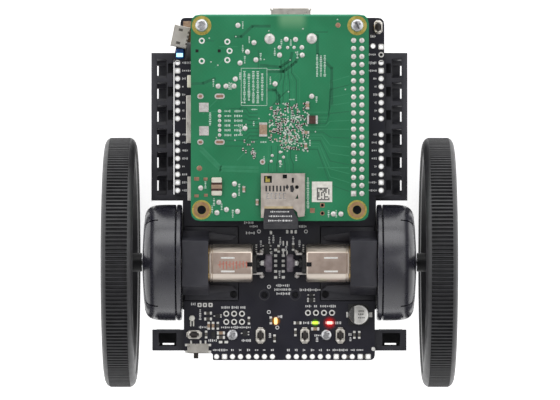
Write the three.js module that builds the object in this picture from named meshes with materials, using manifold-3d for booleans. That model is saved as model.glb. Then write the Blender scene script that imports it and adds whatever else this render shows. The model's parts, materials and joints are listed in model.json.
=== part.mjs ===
// A two-wheeled balancing robot: a battery chassis between two geared wheels, with its control
// board on the front face and a small computer board plugged in on top of it.
//
// Everything is modelled in the robot's upright frame: the origin is the middle of the wheel
// axle line, X runs along the axle, Y points to the top end of the robot and Z points out of the
// front of the control board. The last lines lay the robot on its back, the way it rests when it
// is switched off: on both tyres and on the rear top edge of the battery box.

import * as THREE from 'three';
import { mergeVertices } from 'three/addons/utils/BufferGeometryUtils.js';
import Module from 'manifold-3d';

const wasm = await Module();
wasm.setup();

// ---- driving dimensions, mm ----

const GAP = 0.3;                      // between two pieces that touch
const RUNNING = 0.12;                 // radial clearance of a shaft in its hole
const JOIN = 0.2;                     // how far joined shapes reach into each other
const SIDES = { right: 1, left: -1 };

const ROUND = { fine: 14, shaft: 20, drum: 36, wheel: 48 };   // segments round a circle

const BOARD = { back: 9.6, face: 11.2, edge: 33.4, top: 78, waist: 30.4, bottom: -31 };
const NOTCH = { inner: 12.9, top: 11.7, bottom: -12.2 };      // board cut-outs round the motors
const COMPUTER = { left: -27.9, right: 28.2, bottom: 13.4, top: 78.5, back: 22.2, face: 23.6 };
const COMPUTER_HOLE = 3.5;            // from each edge to a mounting hole

const WHEEL = { radius: 40, inner: 45.8, outer: 55.8, rim: 36, hub: 4.5 };
const AXLE = { radius: 1.5, from: 31.5, to: 53 };

const MODULE = 0.5;                   // gear tooth size: pitch diameter over teeth
const TEETH = { output: 41, pinion: 25 };
const MOTOR_Z = (MODULE * (TEETH.output + TEETH.pinion)) / 2;
const MOTOR = { width: 12, depth: 10, tail: 8.5, nose: 22.1, face: 30.5 };
const DRUM = { z: 6.2, radius: 18.5, wall: 1.2, from: 31.1, seam: 32.9, to: 43.6 };

const SKIN = 2;                       // chassis wall
const PLATE = { back: 7.2, front: 9.2 };
const BAY = { halfWidth: 29.5, bottom: 20, top: 67, rear: -21.8 };
const COVER = { thick: 1.4, lip: 2, play: 0.1 };
const CELL = { radius: 7, length: 50.5, gap: 0.35 };
const RAIL = { inner: 33.8, outer: 40.8, bottom: 19.8, top: 66.9, rear: -20, slots: 6 };
const TAB = { outer: 40.5, bottom: -28, top: -21.4 };

const SLOT_PITCH = 7.45;
const REST_EDGE = { y: BAY.top, z: BAY.rear - COVER.lip };    // the edge that meets the floor

// ---- solids from three.js geometry, joined and cut with manifold ----

function solid(geometry) {
  const bare = geometry.clone();
  bare.deleteAttribute('normal');
  bare.deleteAttribute('uv');
  const merged = mergeVertices(bare, 1e-4);
  return new wasm.Manifold(new wasm.Mesh({
    numProp: 3,
    vertProperties: new Float32Array(merged.attributes.position.array),
    triVerts: new Uint32Array(merged.index.array),
  }));
}

function geometryOf(body) {
  const mesh = body.getMesh();
  const geometry = new THREE.BufferGeometry();
  geometry.setAttribute('position', new THREE.BufferAttribute(mesh.vertProperties, 3));
  geometry.setIndex(new THREE.BufferAttribute(mesh.triVerts, 1));
  return geometry;
}

function union(...bodies) {
  return bodies.reduce((sum, body) => sum.add(body));
}

function cut(body, ...tools) {
  return tools.reduce((rest, tool) => rest.subtract(tool), body);
}

// ---- basic shapes: every span is [from, to] along its own axis ----

function box(x, y, z) {
  const geometry = new THREE.BoxGeometry(x[1] - x[0], y[1] - y[0], z[1] - z[0]);
  geometry.translate((x[0] + x[1]) / 2, (y[0] + y[1]) / 2, (z[0] + z[1]) / 2);
  return solid(geometry);
}

// a cylinder along X, through (y, z)
function rodX(radius, x, y, z, segments = ROUND.shaft) {
  const geometry = new THREE.CylinderGeometry(radius, radius, x[1] - x[0], segments);
  geometry.rotateZ(-Math.PI / 2);
  geometry.translate((x[0] + x[1]) / 2, y, z);
  return solid(geometry);
}

// a cylinder along Z, through (x, y)
function rodZ(radius, z, x, y, segments = ROUND.fine) {
  const geometry = new THREE.CylinderGeometry(radius, radius, z[1] - z[0], segments);
  geometry.rotateX(Math.PI / 2);
  geometry.translate(x, y, (z[0] + z[1]) / 2);
  return solid(geometry);
}

// a flat outline in X and Y, as thick as the span z
function slabZ(shape, z, curveSegments = 5) {
  const settings = { depth: z[1] - z[0], bevelEnabled: false, curveSegments };
  const geometry = new THREE.ExtrudeGeometry(shape, settings);
  geometry.translate(0, 0, z[0]);
  return solid(geometry);
}

// a flat outline in Y and Z, as thick as the span x
function slabX(shape, x, curveSegments = 5) {
  const settings = { depth: x[1] - x[0], bevelEnabled: false, curveSegments };
  const geometry = new THREE.ExtrudeGeometry(shape, settings);
  const turn = new THREE.Matrix4().makeBasis(
    new THREE.Vector3(0, 1, 0), new THREE.Vector3(0, 0, 1), new THREE.Vector3(1, 0, 0),
  );
  geometry.applyMatrix4(turn);
  geometry.translate(x[0], 0, 0);
  return solid(geometry);
}

// a profile of [x, radius] points turned about an axis along X, through (0, z)
function turned(profile, z, segments) {
  const points = profile.map(([x, radius]) => new THREE.Vector2(radius, x));
  const geometry = new THREE.LatheGeometry(points, segments);
  geometry.rotateZ(-Math.PI / 2);
  geometry.translate(0, 0, z);
  return solid(geometry);
}

// an outline whose corners [x, y, radius] are rounded where they give a radius
function outline(corners) {
  const shape = new THREE.Shape();
  corners.forEach(([x, y, radius = 0], i) => {
    const corner = new THREE.Vector2(x, y);
    const before = corners[(i + corners.length - 1) % corners.length];
    const after = corners[(i + 1) % corners.length];
    const start = new THREE.Vector2(before[0], before[1]).sub(corner).setLength(radius).add(corner);
    const end = new THREE.Vector2(after[0], after[1]).sub(corner).setLength(radius).add(corner);
    if (i === 0) {
      shape.moveTo(start.x, start.y);
    } else {
      shape.lineTo(start.x, start.y);
    }
    if (radius > 0) {
      shape.quadraticCurveTo(x, y, end.x, end.y);
    }
  });
  shape.closePath();
  return shape;
}

function roundedBox(x, y, z, radius) {
  return slabZ(outline([
    [x[0], y[0], radius],
    [x[1], y[0], radius],
    [x[1], y[1], radius],
    [x[0], y[1], radius],
  ]), z, 3);
}

// ---- the assembly ----

const MATERIALS = {
  black_plastic: [0x17181a, 0.6, 0],
  gloss_black: [0x101114, 0.25, 0],
  rubber: [0x232325, 0.75, 0],
  steel: [0xb9b6ad, 0.3, 0.9],
  brass: [0xc8a55a, 0.35, 0.9],
  board_black: [0x14151c, 0.45, 0],
  board_green: [0x1f7a4d, 0.45, 0],
  tin: [0xc9c9cc, 0.3, 0.9],
  card: [0x35353a, 0.5, 0],
  cell: [0x2f6f9f, 0.4, 0.2],
  button: [0x1b1b1d, 0.5, 0],
  gear: [0xe8e6df, 0.5, 0],
};

const robot = new THREE.Group();

function add(name, look, body) {
  const [color, roughness, metalness] = MATERIALS[look];
  const material = new THREE.MeshStandardMaterial({ color, roughness, metalness });
  const mesh = new THREE.Mesh(geometryOf(body), material);
  mesh.name = name;
  robot.add(mesh);
}

// the same piece on the other side of the robot: X is reversed, and so is each triangle
function reflected(body) {
  const geometry = geometryOf(body);
  geometry.scale(-1, 1, 1);
  const index = geometry.index.array;
  for (let i = 0; i < index.length; i += 3) {
    [index[i], index[i + 1]] = [index[i + 1], index[i]];
  }
  return solid(geometry);
}

function onSide(body, side) {
  return side > 0 ? body : reflected(body);
}

function addPair(name, look, body) {
  for (const [side, sign] of Object.entries(SIDES)) {
    add(`${side}_${name}`, look, onSide(body, sign));
  }
}

// ---- chassis ----

// one slotted side rail: a front grid, an inner wall, a rear strip, and beside each slot a rib that
// is thicker at its foot
function rail() {
  const grid = { from: PLATE.front - 2.8, window: [35.8, 39], windowHeight: 6.1 };
  const recess = { to: 35.5, height: 3.1 };
  const wall = [35.2, 36.2];
  const rearStrip = { outer: 39.3, front: -18.5 };
  const rib = { outer: 40.3, thick: SLOT_PITCH - grid.windowHeight };
  const foot = { thick: SLOT_PITCH - 3.3, to: RAIL.rear + 6 };
  const span = [RAIL.bottom, RAIL.top];
  const middle = (RAIL.bottom + RAIL.top) / 2;

  let body = union(
    box([RAIL.inner, RAIL.outer], span, [grid.from, PLATE.front]),
    box(wall, span, [RAIL.rear, grid.from + GAP]),
    box([wall[0], rearStrip.outer], span, [RAIL.rear, rearStrip.front]),
  );
  for (let i = 0; i < RAIL.slots; i += 1) {
    const y = middle + (i - (RAIL.slots - 1) / 2) * SLOT_PITCH;
    const window = [y - grid.windowHeight / 2, y + grid.windowHeight / 2];
    const notch = [y - recess.height / 2, y + recess.height / 2];
    body = cut(
      body,
      box(grid.window, window, [grid.from - 1, PLATE.front + 1]),
      box([RAIL.inner - 1, recess.to], notch, [grid.from + GAP, PLATE.front + 1]),
    );
  }
  for (let i = 0; i <= RAIL.slots; i += 1) {
    const y = middle + (i - RAIL.slots / 2) * SLOT_PITCH;
    const ribY = [y - rib.thick / 2, y + rib.thick / 2];
    const footY = [Math.max(y - foot.thick / 2, RAIL.bottom), Math.min(y + foot.thick / 2, RAIL.top)];
    body = union(
      body,
      box([wall[0], rib.outer], ribY, [RAIL.rear, grid.from + GAP]),
      box([wall[0], rib.outer], footY, [RAIL.rear, foot.to]),
    );
  }
  const webSpans = [[RAIL.bottom, RAIL.bottom + SKIN], [RAIL.top - SKIN, RAIL.top]];
  for (const webSpan of webSpans) {
    body = body.add(box([BAY.halfWidth - 1, wall[1]], webSpan, [RAIL.rear, PLATE.front]));
  }
  return body;
}

// the lower ear on each side: a pocket with a narrow strap slot along the bottom of its floor
function tab() {
  const pocket = { x: [32.8, 38.5], y: [-26.5, -22.4], floor: -1 };
  const strap = { x: [33.8, 37.5], height: 0.55 };
  const wall = 0.9;
  const cup = [
    [pocket.x[0] - wall, pocket.x[1] + wall],
    [pocket.y[0] - wall, pocket.y[1] + wall],
    [pocket.floor - wall, PLATE.front],
  ];
  return cut(
    union(
      box([BAY.halfWidth - SKIN, TAB.outer], [TAB.bottom, TAB.top], [PLATE.front - 2 * SKIN, PLATE.front]),
      box(...cup),
    ),
    box(pocket.x, pocket.y, [pocket.floor, PLATE.front + 1]),
    box(strap.x, [pocket.y[0], pocket.y[0] + strap.height], [pocket.floor - SKIN, pocket.floor + 1]),
  );
}

const BOARD_SCREW = { x: 14.95, y: -22.9, shank: 1, length: 8 };
const PEG_HOLE = { x: 14.6, y: -10, radius: 1.2, bottom: 8 };

function chassis() {
  const outer = [-BAY.halfWidth, BAY.halfWidth];
  const inner = [-BAY.halfWidth + SKIN, BAY.halfWidth - SKIN];
  const plateBottom = -27;
  const endWall = 1.8;
  const cradle = { x: [NOTCH.inner + GAP, 30.1], y: [NOTCH.bottom + GAP, NOTCH.top - GAP] };
  const cradleTop = MOTOR_Z - MOTOR.depth / 2 - GAP;
  const sideWall = { x: [27.6, DRUM.from - GAP], y: [-14.9, BAY.bottom + 1], rear: -12 };
  const boss = { radius: 2.6, rear: 1 };

  let body = union(
    box(outer, [plateBottom, BAY.bottom + 1], [PLATE.back, PLATE.front]),
    box(outer, [BAY.bottom, BAY.top], [BAY.rear, PLATE.front]),
  );
  body = body.subtract(
    box(inner, [BAY.bottom + endWall, BAY.top - endWall], [BAY.rear - 1, PLATE.back]),
  );
  body = body.add(box(outer, [BAY.top - endWall, BAY.top], [REST_EDGE.z, BAY.rear + 1]));
  for (const sign of Object.values(SIDES)) {
    body = union(
      body,
      onSide(box(cradle.x, cradle.y, [PLATE.back, cradleTop]), sign),
      onSide(box(sideWall.x, sideWall.y, [sideWall.rear, PLATE.front]), sign),
      onSide(rail(), sign),
      onSide(tab(), sign),
      rodZ(boss.radius, [boss.rear, PLATE.back + 1], sign * BOARD_SCREW.x, BOARD_SCREW.y),
    );
    body = cut(
      body,
      rodZ(BOARD_SCREW.shank + GAP, [0, PLATE.front + 1], sign * BOARD_SCREW.x, BOARD_SCREW.y),
      rodZ(PEG_HOLE.radius, [PEG_HOLE.bottom, cradleTop + 1], sign * PEG_HOLE.x, PEG_HOLE.y),
    );
  }
  return body;
}

// the sliding lid of the battery bay, with vent slots and a ribbed thumb grip
function batteryCover() {
  const z = [BAY.rear - GAP - COVER.thick, BAY.rear - GAP];
  const y = [BAY.bottom, BAY.top - SKIN - COVER.play];
  const vent = { count: 7, pitch: 7, width: 2.4, y: [34, 56] };
  const grip = { count: 4, pitch: 2, width: 0.9, height: 0.8, halfLength: 12, y: 22.5 };
  const corner = 1.5;

  let body = roundedBox([-BAY.halfWidth, BAY.halfWidth], y, z, corner);
  for (let i = 0; i < vent.count; i += 1) {
    const x = (i - (vent.count - 1) / 2) * vent.pitch;
    const slot = [x - vent.width / 2, x + vent.width / 2];
    body = body.subtract(box(slot, vent.y, [z[0] - 1, z[1] + 1]));
  }
  for (let i = 0; i < grip.count; i += 1) {
    const from = grip.y + i * grip.pitch;
    const x = [-grip.halfLength, grip.halfLength];
    body = body.add(box(x, [from, from + grip.width], [z[0] - grip.height, z[0] + JOIN]));
  }
  return body;
}

// ---- batteries and their contacts ----

const CELL_PITCH = 2 * CELL.radius + CELL.gap;
const CELL_ROWS = [-1, 0, 1].map((row) => (BAY.bottom + BAY.top) / 2 + row * CELL_PITCH);
const CELL_TOP = PLATE.back - CELL.gap - CELL.radius;
const CELL_LAYERS = [CELL_TOP, CELL_TOP - 2 * CELL.radius - GAP];

// one cell, its button end facing the way that sign says
function cell(sign, y, z) {
  const half = CELL.length / 2;
  const bevel = 0.6;
  const button = { height: 1.2, radius: 2.7 };
  const profile = [
    [-half, 0],
    [-half, CELL.radius - bevel],
    [-half + bevel, CELL.radius],
    [half - button.height - JOIN, CELL.radius],
    [half - button.height, button.radius],
    [half, button.radius],
    [half, 0],
  ];
  const geometry = geometryOf(onSide(turned(profile, 0, ROUND.shaft), sign));
  geometry.translate(0, y, z);
  return solid(geometry);
}

// a contact strip across one end of all six cells, with a stub at each cell
function contactStrip() {
  const inner = BAY.halfWidth - SKIN;
  const x = [inner - GAP - 0.8, inner - GAP];
  const stub = { radius: 2, segments: 8 };
  const margin = { y: 3, z: 5 };
  const y = [BAY.bottom + margin.y, BAY.top - margin.y];
  let body = box(x, y, [CELL_LAYERS[1] - margin.z, CELL_LAYERS[0] + margin.z]);
  for (const row of CELL_ROWS) {
    for (const layer of CELL_LAYERS) {
      body = body.add(rodX(stub.radius, [CELL.length / 2 + GAP, x[1]], row, layer, stub.segments));
    }
  }
  return body;
}

// ---- gears, axles and housings ----

// half the angle that a tooth covers at a radius, on a 20 degree involute
function toothHalfAngle(radius, teeth) {
  const pressure = THREE.MathUtils.degToRad(20);
  const backlash = 0.14;
  const pitch = (MODULE * teeth) / 2;
  const base = pitch * Math.cos(pressure);
  const involute = (angle) => Math.tan(angle) - angle;
  const atPitch = Math.PI / (2 * teeth) - backlash / (2 * pitch);
  const angle = Math.acos(Math.min(1, base / radius));
  return atPitch + involute(pressure) - involute(angle);
}

// a spur gear about an axis along X, with a tooth pointing to +Z
function gear(teeth, x, z) {
  const pitch = (MODULE * teeth) / 2;
  const [root, tip] = [1.25 * MODULE, 0.95 * MODULE];
  const radii = [pitch - root, pitch + tip];
  const points = [];
  for (let tooth = 0; tooth < teeth; tooth += 1) {
    const middle = Math.PI / 2 + (tooth * 2 * Math.PI) / teeth;
    const flank = radii.map((radius) => [radius, toothHalfAngle(radius, teeth)]);
    const rising = flank.map(([radius, half]) => [radius, middle - half]);
    const falling = flank.map(([radius, half]) => [radius, middle + half]).reverse();
    for (const [radius, angle] of [...rising, ...falling]) {
      points.push(new THREE.Vector2(radius * Math.cos(angle), z + radius * Math.sin(angle)));
    }
  }
  return slabX(new THREE.Shape(points), x);
}

const GEAR_X = { output: [33.7, 37.7], pinion: [33.9, 37.5] };

function outputGear() {
  const hub = { radius: 4, to: 38.6 };
  const hubBody = rodX(hub.radius, [GEAR_X.output[0], hub.to], 0, 0);
  const bore = rodX(AXLE.radius + RUNNING, [GEAR_X.output[0] - 1, hub.to + 1], 0, 0);
  return union(gear(TEETH.output, GEAR_X.output, 0), hubBody).subtract(bore);
}

// the pinion with the gearmotor's output shaft that carries it
function pinion() {
  const shaftEnd = 39;
  const shaft = rodX(AXLE.radius, [MOTOR.face + GAP, shaftEnd], 0, MOTOR_Z);
  return gear(TEETH.pinion, GEAR_X.pinion, MOTOR_Z).add(shaft);
}

function axle() {
  return rodX(AXLE.radius, [AXLE.from, AXLE.to], 0, 0);
}

const BEARING = { radius: 4, width: 2, inner: DRUM.from + 0.05, outer: 41.3 };

function bearing(from) {
  const bore = rodX(AXLE.radius + RUNNING, [from - 1, from + BEARING.width + 1], 0, 0);
  return rodX(BEARING.radius, [from, from + BEARING.width], 0, 0).subtract(bore);
}

// the flange that closes the gear drum on the chassis side
function gearboxBase() {
  const x = [DRUM.from, DRUM.seam - GAP];
  const seat = BEARING.radius + RUNNING;
  const shaftHole = 2.2;
  return cut(
    rodX(DRUM.radius, x, 0, DRUM.z, ROUND.drum),
    rodX(seat, [x[0] - 1, x[1] + 1], 0, 0),
    rodX(shaftHole, [x[0] - 1, x[1] + 1], 0, MOTOR_Z),
  );
}

// the domed shell of the gear drum, with the outer bearing's seat inside it
function gearboxCover() {
  const shoulder = 2.3;
  const dome = 0.9;
  const steps = 3;
  const lastAngle = THREE.MathUtils.degToRad(77);
  const outer = [];
  for (let i = 0; i <= steps; i += 1) {
    const angle = (i / steps) * lastAngle;
    outer.push([
      DRUM.to - dome - shoulder + shoulder * Math.sin(angle),
      DRUM.radius - shoulder + shoulder * Math.cos(angle),
    ]);
  }
  const shell = turned([
    [DRUM.to - DRUM.wall, 0],
    [DRUM.to - DRUM.wall - dome, DRUM.radius - shoulder],
    [DRUM.to - DRUM.wall - dome - 1, DRUM.radius - DRUM.wall],
    [DRUM.seam, DRUM.radius - DRUM.wall],
    [DRUM.seam, DRUM.radius],
    ...outer,
    [DRUM.to, 0],
  ], DRUM.z, ROUND.drum);
  const bossX = [BEARING.outer - 0.8, BEARING.outer + BEARING.width - 0.5];
  const boss = rodX(BEARING.radius + DRUM.wall, bossX, 0, 0);
  const seatX = [DRUM.seam, BEARING.outer + BEARING.width];
  return cut(
    shell.add(boss),
    rodX(BEARING.radius + RUNNING, seatX, 0, 0),
    rodX(AXLE.radius + GAP, [BEARING.outer, DRUM.to + 1], 0, 0),
  );
}

// ---- motors ----

function motorCan() {
  const round = rodX(MOTOR.width / 2, [MOTOR.tail, MOTOR.nose], 0, MOTOR_Z, ROUND.drum);
  const flats = [MOTOR_Z - MOTOR.depth / 2, MOTOR_Z + MOTOR.depth / 2];
  const block = box([MOTOR.tail - 1, MOTOR.nose + 1], [-MOTOR.width, MOTOR.width], flats);
  const hole = { radius: 1.1, depth: 1.5 };
  const shaftHole = rodX(hole.radius, [MOTOR.tail - 1, MOTOR.tail + hole.depth], 0, MOTOR_Z);
  return cut(round.intersect(block), shaftHole);
}

function motorGearbox() {
  const y = [-MOTOR.width / 2, MOTOR.width / 2];
  const z = [MOTOR_Z - MOTOR.depth / 2, MOTOR_Z + MOTOR.depth / 2];
  return box([MOTOR.nose + GAP, MOTOR.face], y, z);
}

// the bracket over the gearmotor's nose, with two arms along the chassis
function motorClip() {
  const foot = MOTOR_Z - MOTOR.depth / 2;
  const inside = { y: MOTOR.width / 2 + GAP, top: MOTOR_Z + MOTOR.depth / 2 + GAP };
  const halfProfile = [
    [10.2, foot],
    [10.2, foot + 2.6],
    [9.2, foot + 4],
    [8, foot + 8],
    [7.1, inside.top + 1.1],
  ];
  const outer = [...halfProfile, ...halfProfile.map(([y, z]) => [-y, z]).reverse()];
  const inner = [
    [-inside.y, foot],
    [-inside.y, inside.top],
    [inside.y, inside.top],
    [inside.y, foot],
  ];
  const arch = slabX(outline([...outer, ...inner]), [MOTOR.nose + GAP, DRUM.from - GAP]);
  const arm = outline([[13.4, 8.6], [15, 7.2], [24, 6.9], [24, 10.1]]);
  const armSpan = [foot, foot + 2.2];
  const mirroredArm = outline([[13.4, -8.6], [24, -10.1], [24, -6.9], [15, -7.2]]);
  return union(arch, slabZ(arm, armSpan), slabZ(mirroredArm, armSpan));
}

// the magnet disc on the motor's tail shaft
function encoderDisc() {
  const disc = { radius: 3.8, x: [2.3, 4.4] };
  const shaft = { radius: 0.75, to: MOTOR.tail + 1 };
  return union(
    rodX(disc.radius, disc.x, 0, MOTOR_Z),
    rodX(shaft.radius, [disc.x[1] - JOIN, shaft.to], 0, MOTOR_Z, ROUND.fine),
  );
}

// ---- wheels ----

function wheel() {
  const rim = { inner: 33.4, outer: WHEEL.rim - 0.2, from: 46.4, to: 55.2 };
  const hub = { from: 44.1, to: AXLE.to + 1.2, bossRadius: 3 };
  const spoke = { count: 5, width: 6, from: 49, to: 51.6 };

  const hubBody = turned([
    [hub.from, 0],
    [hub.from, hub.bossRadius],
    [WHEEL.inner - 0.6, hub.bossRadius],
    [WHEEL.inner, WHEEL.hub],
    [hub.to, WHEEL.hub],
    [hub.to, 0],
  ], 0, ROUND.shaft);
  const rimBody = turned([
    [rim.from, rim.inner],
    [rim.from, rim.outer],
    [rim.to, rim.outer],
    [rim.to, rim.inner],
    [rim.from, rim.inner],
  ], 0, ROUND.wheel);
  let body = hubBody.add(rimBody);
  for (let i = 0; i < spoke.count; i += 1) {
    const length = [AXLE.radius, rim.inner + 1];
    const blank = box([spoke.from, spoke.to], [-spoke.width / 2, spoke.width / 2], length);
    const geometry = geometryOf(blank);
    geometry.rotateX((i * 2 * Math.PI) / spoke.count);
    body = body.add(solid(geometry));
  }
  return body.subtract(rodX(AXLE.radius + RUNNING, [hub.from - 1, AXLE.to + GAP], 0, 0));
}

function tyre() {
  const tread = { from: 47.5, to: 54.1 };
  const sideTop = 37.9;
  const shoulder = { radius: 38.95, inset: 0.45 };
  return turned([
    [WHEEL.inner, WHEEL.rim],
    [WHEEL.inner, sideTop],
    [WHEEL.inner + shoulder.inset, shoulder.radius],
    [tread.from, WHEEL.radius],
    [tread.to, WHEEL.radius],
    [WHEEL.outer - shoulder.inset, shoulder.radius],
    [WHEEL.outer, sideTop],
    [WHEEL.outer, WHEEL.rim],
    [WHEEL.inner, WHEEL.rim],
  ], 0, ROUND.wheel);
}

// ---- control board and the parts on it ----

const BOARD_STEP = { x: -21.2, y: -28.8 };     // the lower left corner stops short
const STANDOFF = { x: 24.5, y: COMPUTER.top - COMPUTER_HOLE, radius: 2.75, bore: 1.55 };
const CLEAR = 0.12;                            // between a board part and the board

function controlBoard() {
  const { edge, top, waist, bottom } = BOARD;
  const shoulder = 21.5;
  const shape = outline([
    [edge, shoulder, 0.6],
    [edge, top, 2.2],
    [-31.5, top, 1.6],
    [-31.5, 75.2, 0.4],
    [-edge, 66.2, 0.6],
    [-edge, shoulder, 0.6],
    [-waist, shoulder, 0.6],
    [-waist, NOTCH.top, 0.4],
    [-NOTCH.inner, NOTCH.top, 0.6],
    [-NOTCH.inner, NOTCH.bottom, 0.6],
    [-waist, NOTCH.bottom, 0.4],
    [-waist, BOARD_STEP.y, 1.8],
    [BOARD_STEP.x, BOARD_STEP.y, 0.6],
    [BOARD_STEP.x, bottom, 0.6],
    [waist, bottom, 1.8],
    [waist, NOTCH.bottom, 0.4],
    [NOTCH.inner, NOTCH.bottom, 0.6],
    [NOTCH.inner, NOTCH.top, 0.6],
    [waist, NOTCH.top, 0.4],
    [waist, shoulder, 0.6],
  ]);
  let body = slabZ(shape, [BOARD.back, BOARD.face], 3);
  for (const sign of Object.values(SIDES)) {
    const through = [BOARD.back - 1, BOARD.face + 1];
    body = cut(
      body,
      rodZ(BOARD_SCREW.shank + GAP, through, sign * BOARD_SCREW.x, BOARD_SCREW.y),
      rodZ(STANDOFF.bore, through, sign * STANDOFF.x, STANDOFF.y),
    );
  }
  return body;
}

function panHeadScrew({ x, y, head, headHeight, shank, length, under }) {
  const slot = { half: 0.25, reach: 1, depth: 0.5 };
  const crown = { radius: head - 0.4, from: under + headHeight * 0.6 };
  const top = under + headHeight;
  const body = union(
    rodZ(head, [under, crown.from + JOIN / 2], x, y),
    slabZ(circle(x, y, crown.radius), [crown.from, top]),
    rodZ(shank, [under - length, under + JOIN], x, y),
  );
  const slotZ = [top - slot.depth, top + 1];
  return cut(
    body,
    box([x - slot.half, x + slot.half], [y - slot.reach, y + slot.reach], slotZ),
    box([x - slot.reach, x + slot.reach], [y - slot.half, y + slot.half], slotZ),
  );
}

function circle(x, y, radius) {
  const shape = new THREE.Shape();
  shape.absarc(x, y, radius, 0, 2 * Math.PI, false);
  return shape;
}

function standoff() {
  const z = [BOARD.face + CLEAR, COMPUTER.back - CLEAR];
  const body = rodZ(STANDOFF.radius, z, 0, 0, 6);
  return body.subtract(rodZ(STANDOFF.bore, [z[0] - 1, z[1] + 1], 0, 0));
}

const FRAME_TOP = 1.5;                          // height of a push-button's metal frame
const PLUNGER = { long: 2.4, short: 1.2, height: 0.7, corner: 0.55 };
const BUTTONS = {
  button_a: [-6, -23.1, 'upright'],
  button_b: [8.1, -23.1, 'upright'],
  button_c: [19.4, -23.1, 'upright'],
  power_button: [-27.1, -22.8, 'lying'],
  reset_button: [31.4, 75, 'upright'],
};

// the plunger of a push-button: an oval pin with a wider foot
function plunger([x, y, way]) {
  const half = way === 'upright'
    ? [PLUNGER.short / 2, PLUNGER.long / 2]
    : [PLUNGER.long / 2, PLUNGER.short / 2];
  const foot = { margin: 0.3, bottom: BOARD.face + 0.6, top: BOARD.face + 1 };
  const pin = [foot.bottom, BOARD.face + FRAME_TOP + PLUNGER.height];
  return union(
    roundedBox([x - half[0], x + half[0]], [y - half[1], y + half[1]], pin, PLUNGER.corner),
    box(
      [x - half[0] - foot.margin, x + half[0] + foot.margin],
      [y - half[1] - foot.margin, y + half[1] + foot.margin],
      [foot.bottom, foot.top],
    ),
  );
}

const SWITCH = { x: [-29.25, -22.55], y: [-28.6, -25.7], height: 1.5 };

function switchBody() {
  const z = [BOARD.face + CLEAR, BOARD.face + SWITCH.height];
  const skin = 0.32;
  const window = { x: [-27.7, -24.1], y: [SWITCH.y[0] - 1, -27.5], z: [z[0] + skin, z[1] - skin] };
  return box(SWITCH.x, SWITCH.y, z).subtract(box(window.x, window.y, window.z));
}

function switchSlider() {
  const z = [BOARD.face + 0.65, BOARD.face + 1];
  return box([-27.25, -25.75], [-30.4, -27.75], z);
}

function capacitor() {
  const at = { x: 25.2, y: -16.4 };
  const base = { half: 3.3, height: 0.8, corner: 0.6 };
  const can = { radius: 3.15, top: BOARD.face + 5.6 };
  const z = [BOARD.face + CLEAR, BOARD.face + CLEAR + base.height];
  const x = [at.x - base.half, at.x + base.half];
  const y = [at.y - base.half, at.y + base.half];
  return union(
    roundedBox(x, y, z, base.corner),
    rodZ(can.radius, [z[0] + JOIN, can.top], at.x, at.y, ROUND.shaft),
  );
}

// the micro socket on the control board's cut corner, turned to follow the cut
function boardUsbPort() {
  const half = { width: 3.75, depth: 2.6 };
  const height = 2.7;
  const mouth = { width: 3.3, height: [0.5, 2.2] };
  const turn = THREE.MathUtils.degToRad(12);
  const floor = BOARD.face + CLEAR;
  const shell = box([-half.depth, half.depth], [-half.width, half.width], [0, height]);
  const hollow = box([-half.depth - 1, half.depth - 1], [-mouth.width, mouth.width], mouth.height);
  const geometry = geometryOf(shell.subtract(hollow));
  geometry.rotateZ(-turn);
  geometry.translate(-31.4, 71.9, floor);
  return solid(geometry);
}

// ---- computer board and the parts on it ----

function computerBoard() {
  const { left, right, bottom, top, back, face } = COMPUTER;
  const hole = 1.4;
  const corner = 3;
  let body = roundedBox([left, right], [bottom, top], [back, face], corner);
  for (const x of [-STANDOFF.x, STANDOFF.x]) {
    for (const y of [bottom + COMPUTER_HOLE, STANDOFF.y]) {
      body = body.subtract(rodZ(hole, [back - 1, face + 1], x, y));
    }
  }
  return body;
}

// a socket shell under the computer board: it hangs from the board's back by its height
function shell(x, y, height, hollow) {
  const top = COMPUTER.back - CLEAR;
  return box(x, y, [top - height, top]).subtract(hollow);
}

function usbPort() {
  const x = [-2.95, 10.15];
  const y = [66.6, 80.6];
  const height = 5.9;
  const wall = 0.4;
  const top = COMPUTER.back - CLEAR;
  const inside = [top - height + wall, top - wall];
  const hollow = box([x[0] + wall, x[1] - wall], [y[0] + 2, y[1] + 1], inside);
  return shell(x, y, height, hollow);
}

function hdmiPort() {
  const x = [-29.4, -17.6];
  const y = [38, 53];
  const height = 5.7;
  const wall = 0.45;
  const top = COMPUTER.back - CLEAR;
  const inside = [top - height + wall, top - wall];
  const hollow = box([x[0] - 1, x[1] - 1.5], [y[0] + wall, y[1] - wall], inside);
  return shell(x, y, height, hollow);
}

function powerPort() {
  const x = [-29, -23.6];
  const y = [19.8, 27.4];
  const height = 2.8;
  const wall = 0.4;
  const top = COMPUTER.back - CLEAR;
  const inside = [top - height + wall, top - wall];
  const hollow = box([x[0] - 1, x[1] - 1], [y[0] + wall, y[1] - wall], inside);
  return shell(x, y, height, hollow);
}

function audioJack() {
  const block = { x: [-27.4, -15.6], y: 67, half: 3.4, height: 6 };
  const collar = { radius: 2.9, x: [-29.2, block.x[0] + JOIN] };
  const bore = { radius: 1.8, to: -18 };
  const top = COMPUTER.back - CLEAR;
  const z = top - block.height / 2;
  return union(
    box(block.x, [block.y - block.half, block.y + block.half], [top - block.height, top]),
    rodX(collar.radius, collar.x, block.y, z),
  ).subtract(rodX(bore.radius, [collar.x[0] - 1, bore.to], block.y, z));
}

function headerSocket() {
  const x = [22.15, 27.25];
  const y = [20.85, 71.65];
  const top = BOARD.face + 8.5;
  const groove = { from: 0.9, to: 1.7, end: 0.8, depth: 3 };
  const grooveY = [y[0] + groove.end, y[1] - groove.end];
  const grooveZ = [top - groove.depth, top + 1];
  return cut(
    box(x, y, [BOARD.face + CLEAR, top]),
    box([x[0] + groove.from, x[0] + groove.to], grooveY, grooveZ),
    box([x[1] - groove.to, x[1] - groove.from], grooveY, grooveZ),
  );
}

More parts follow.
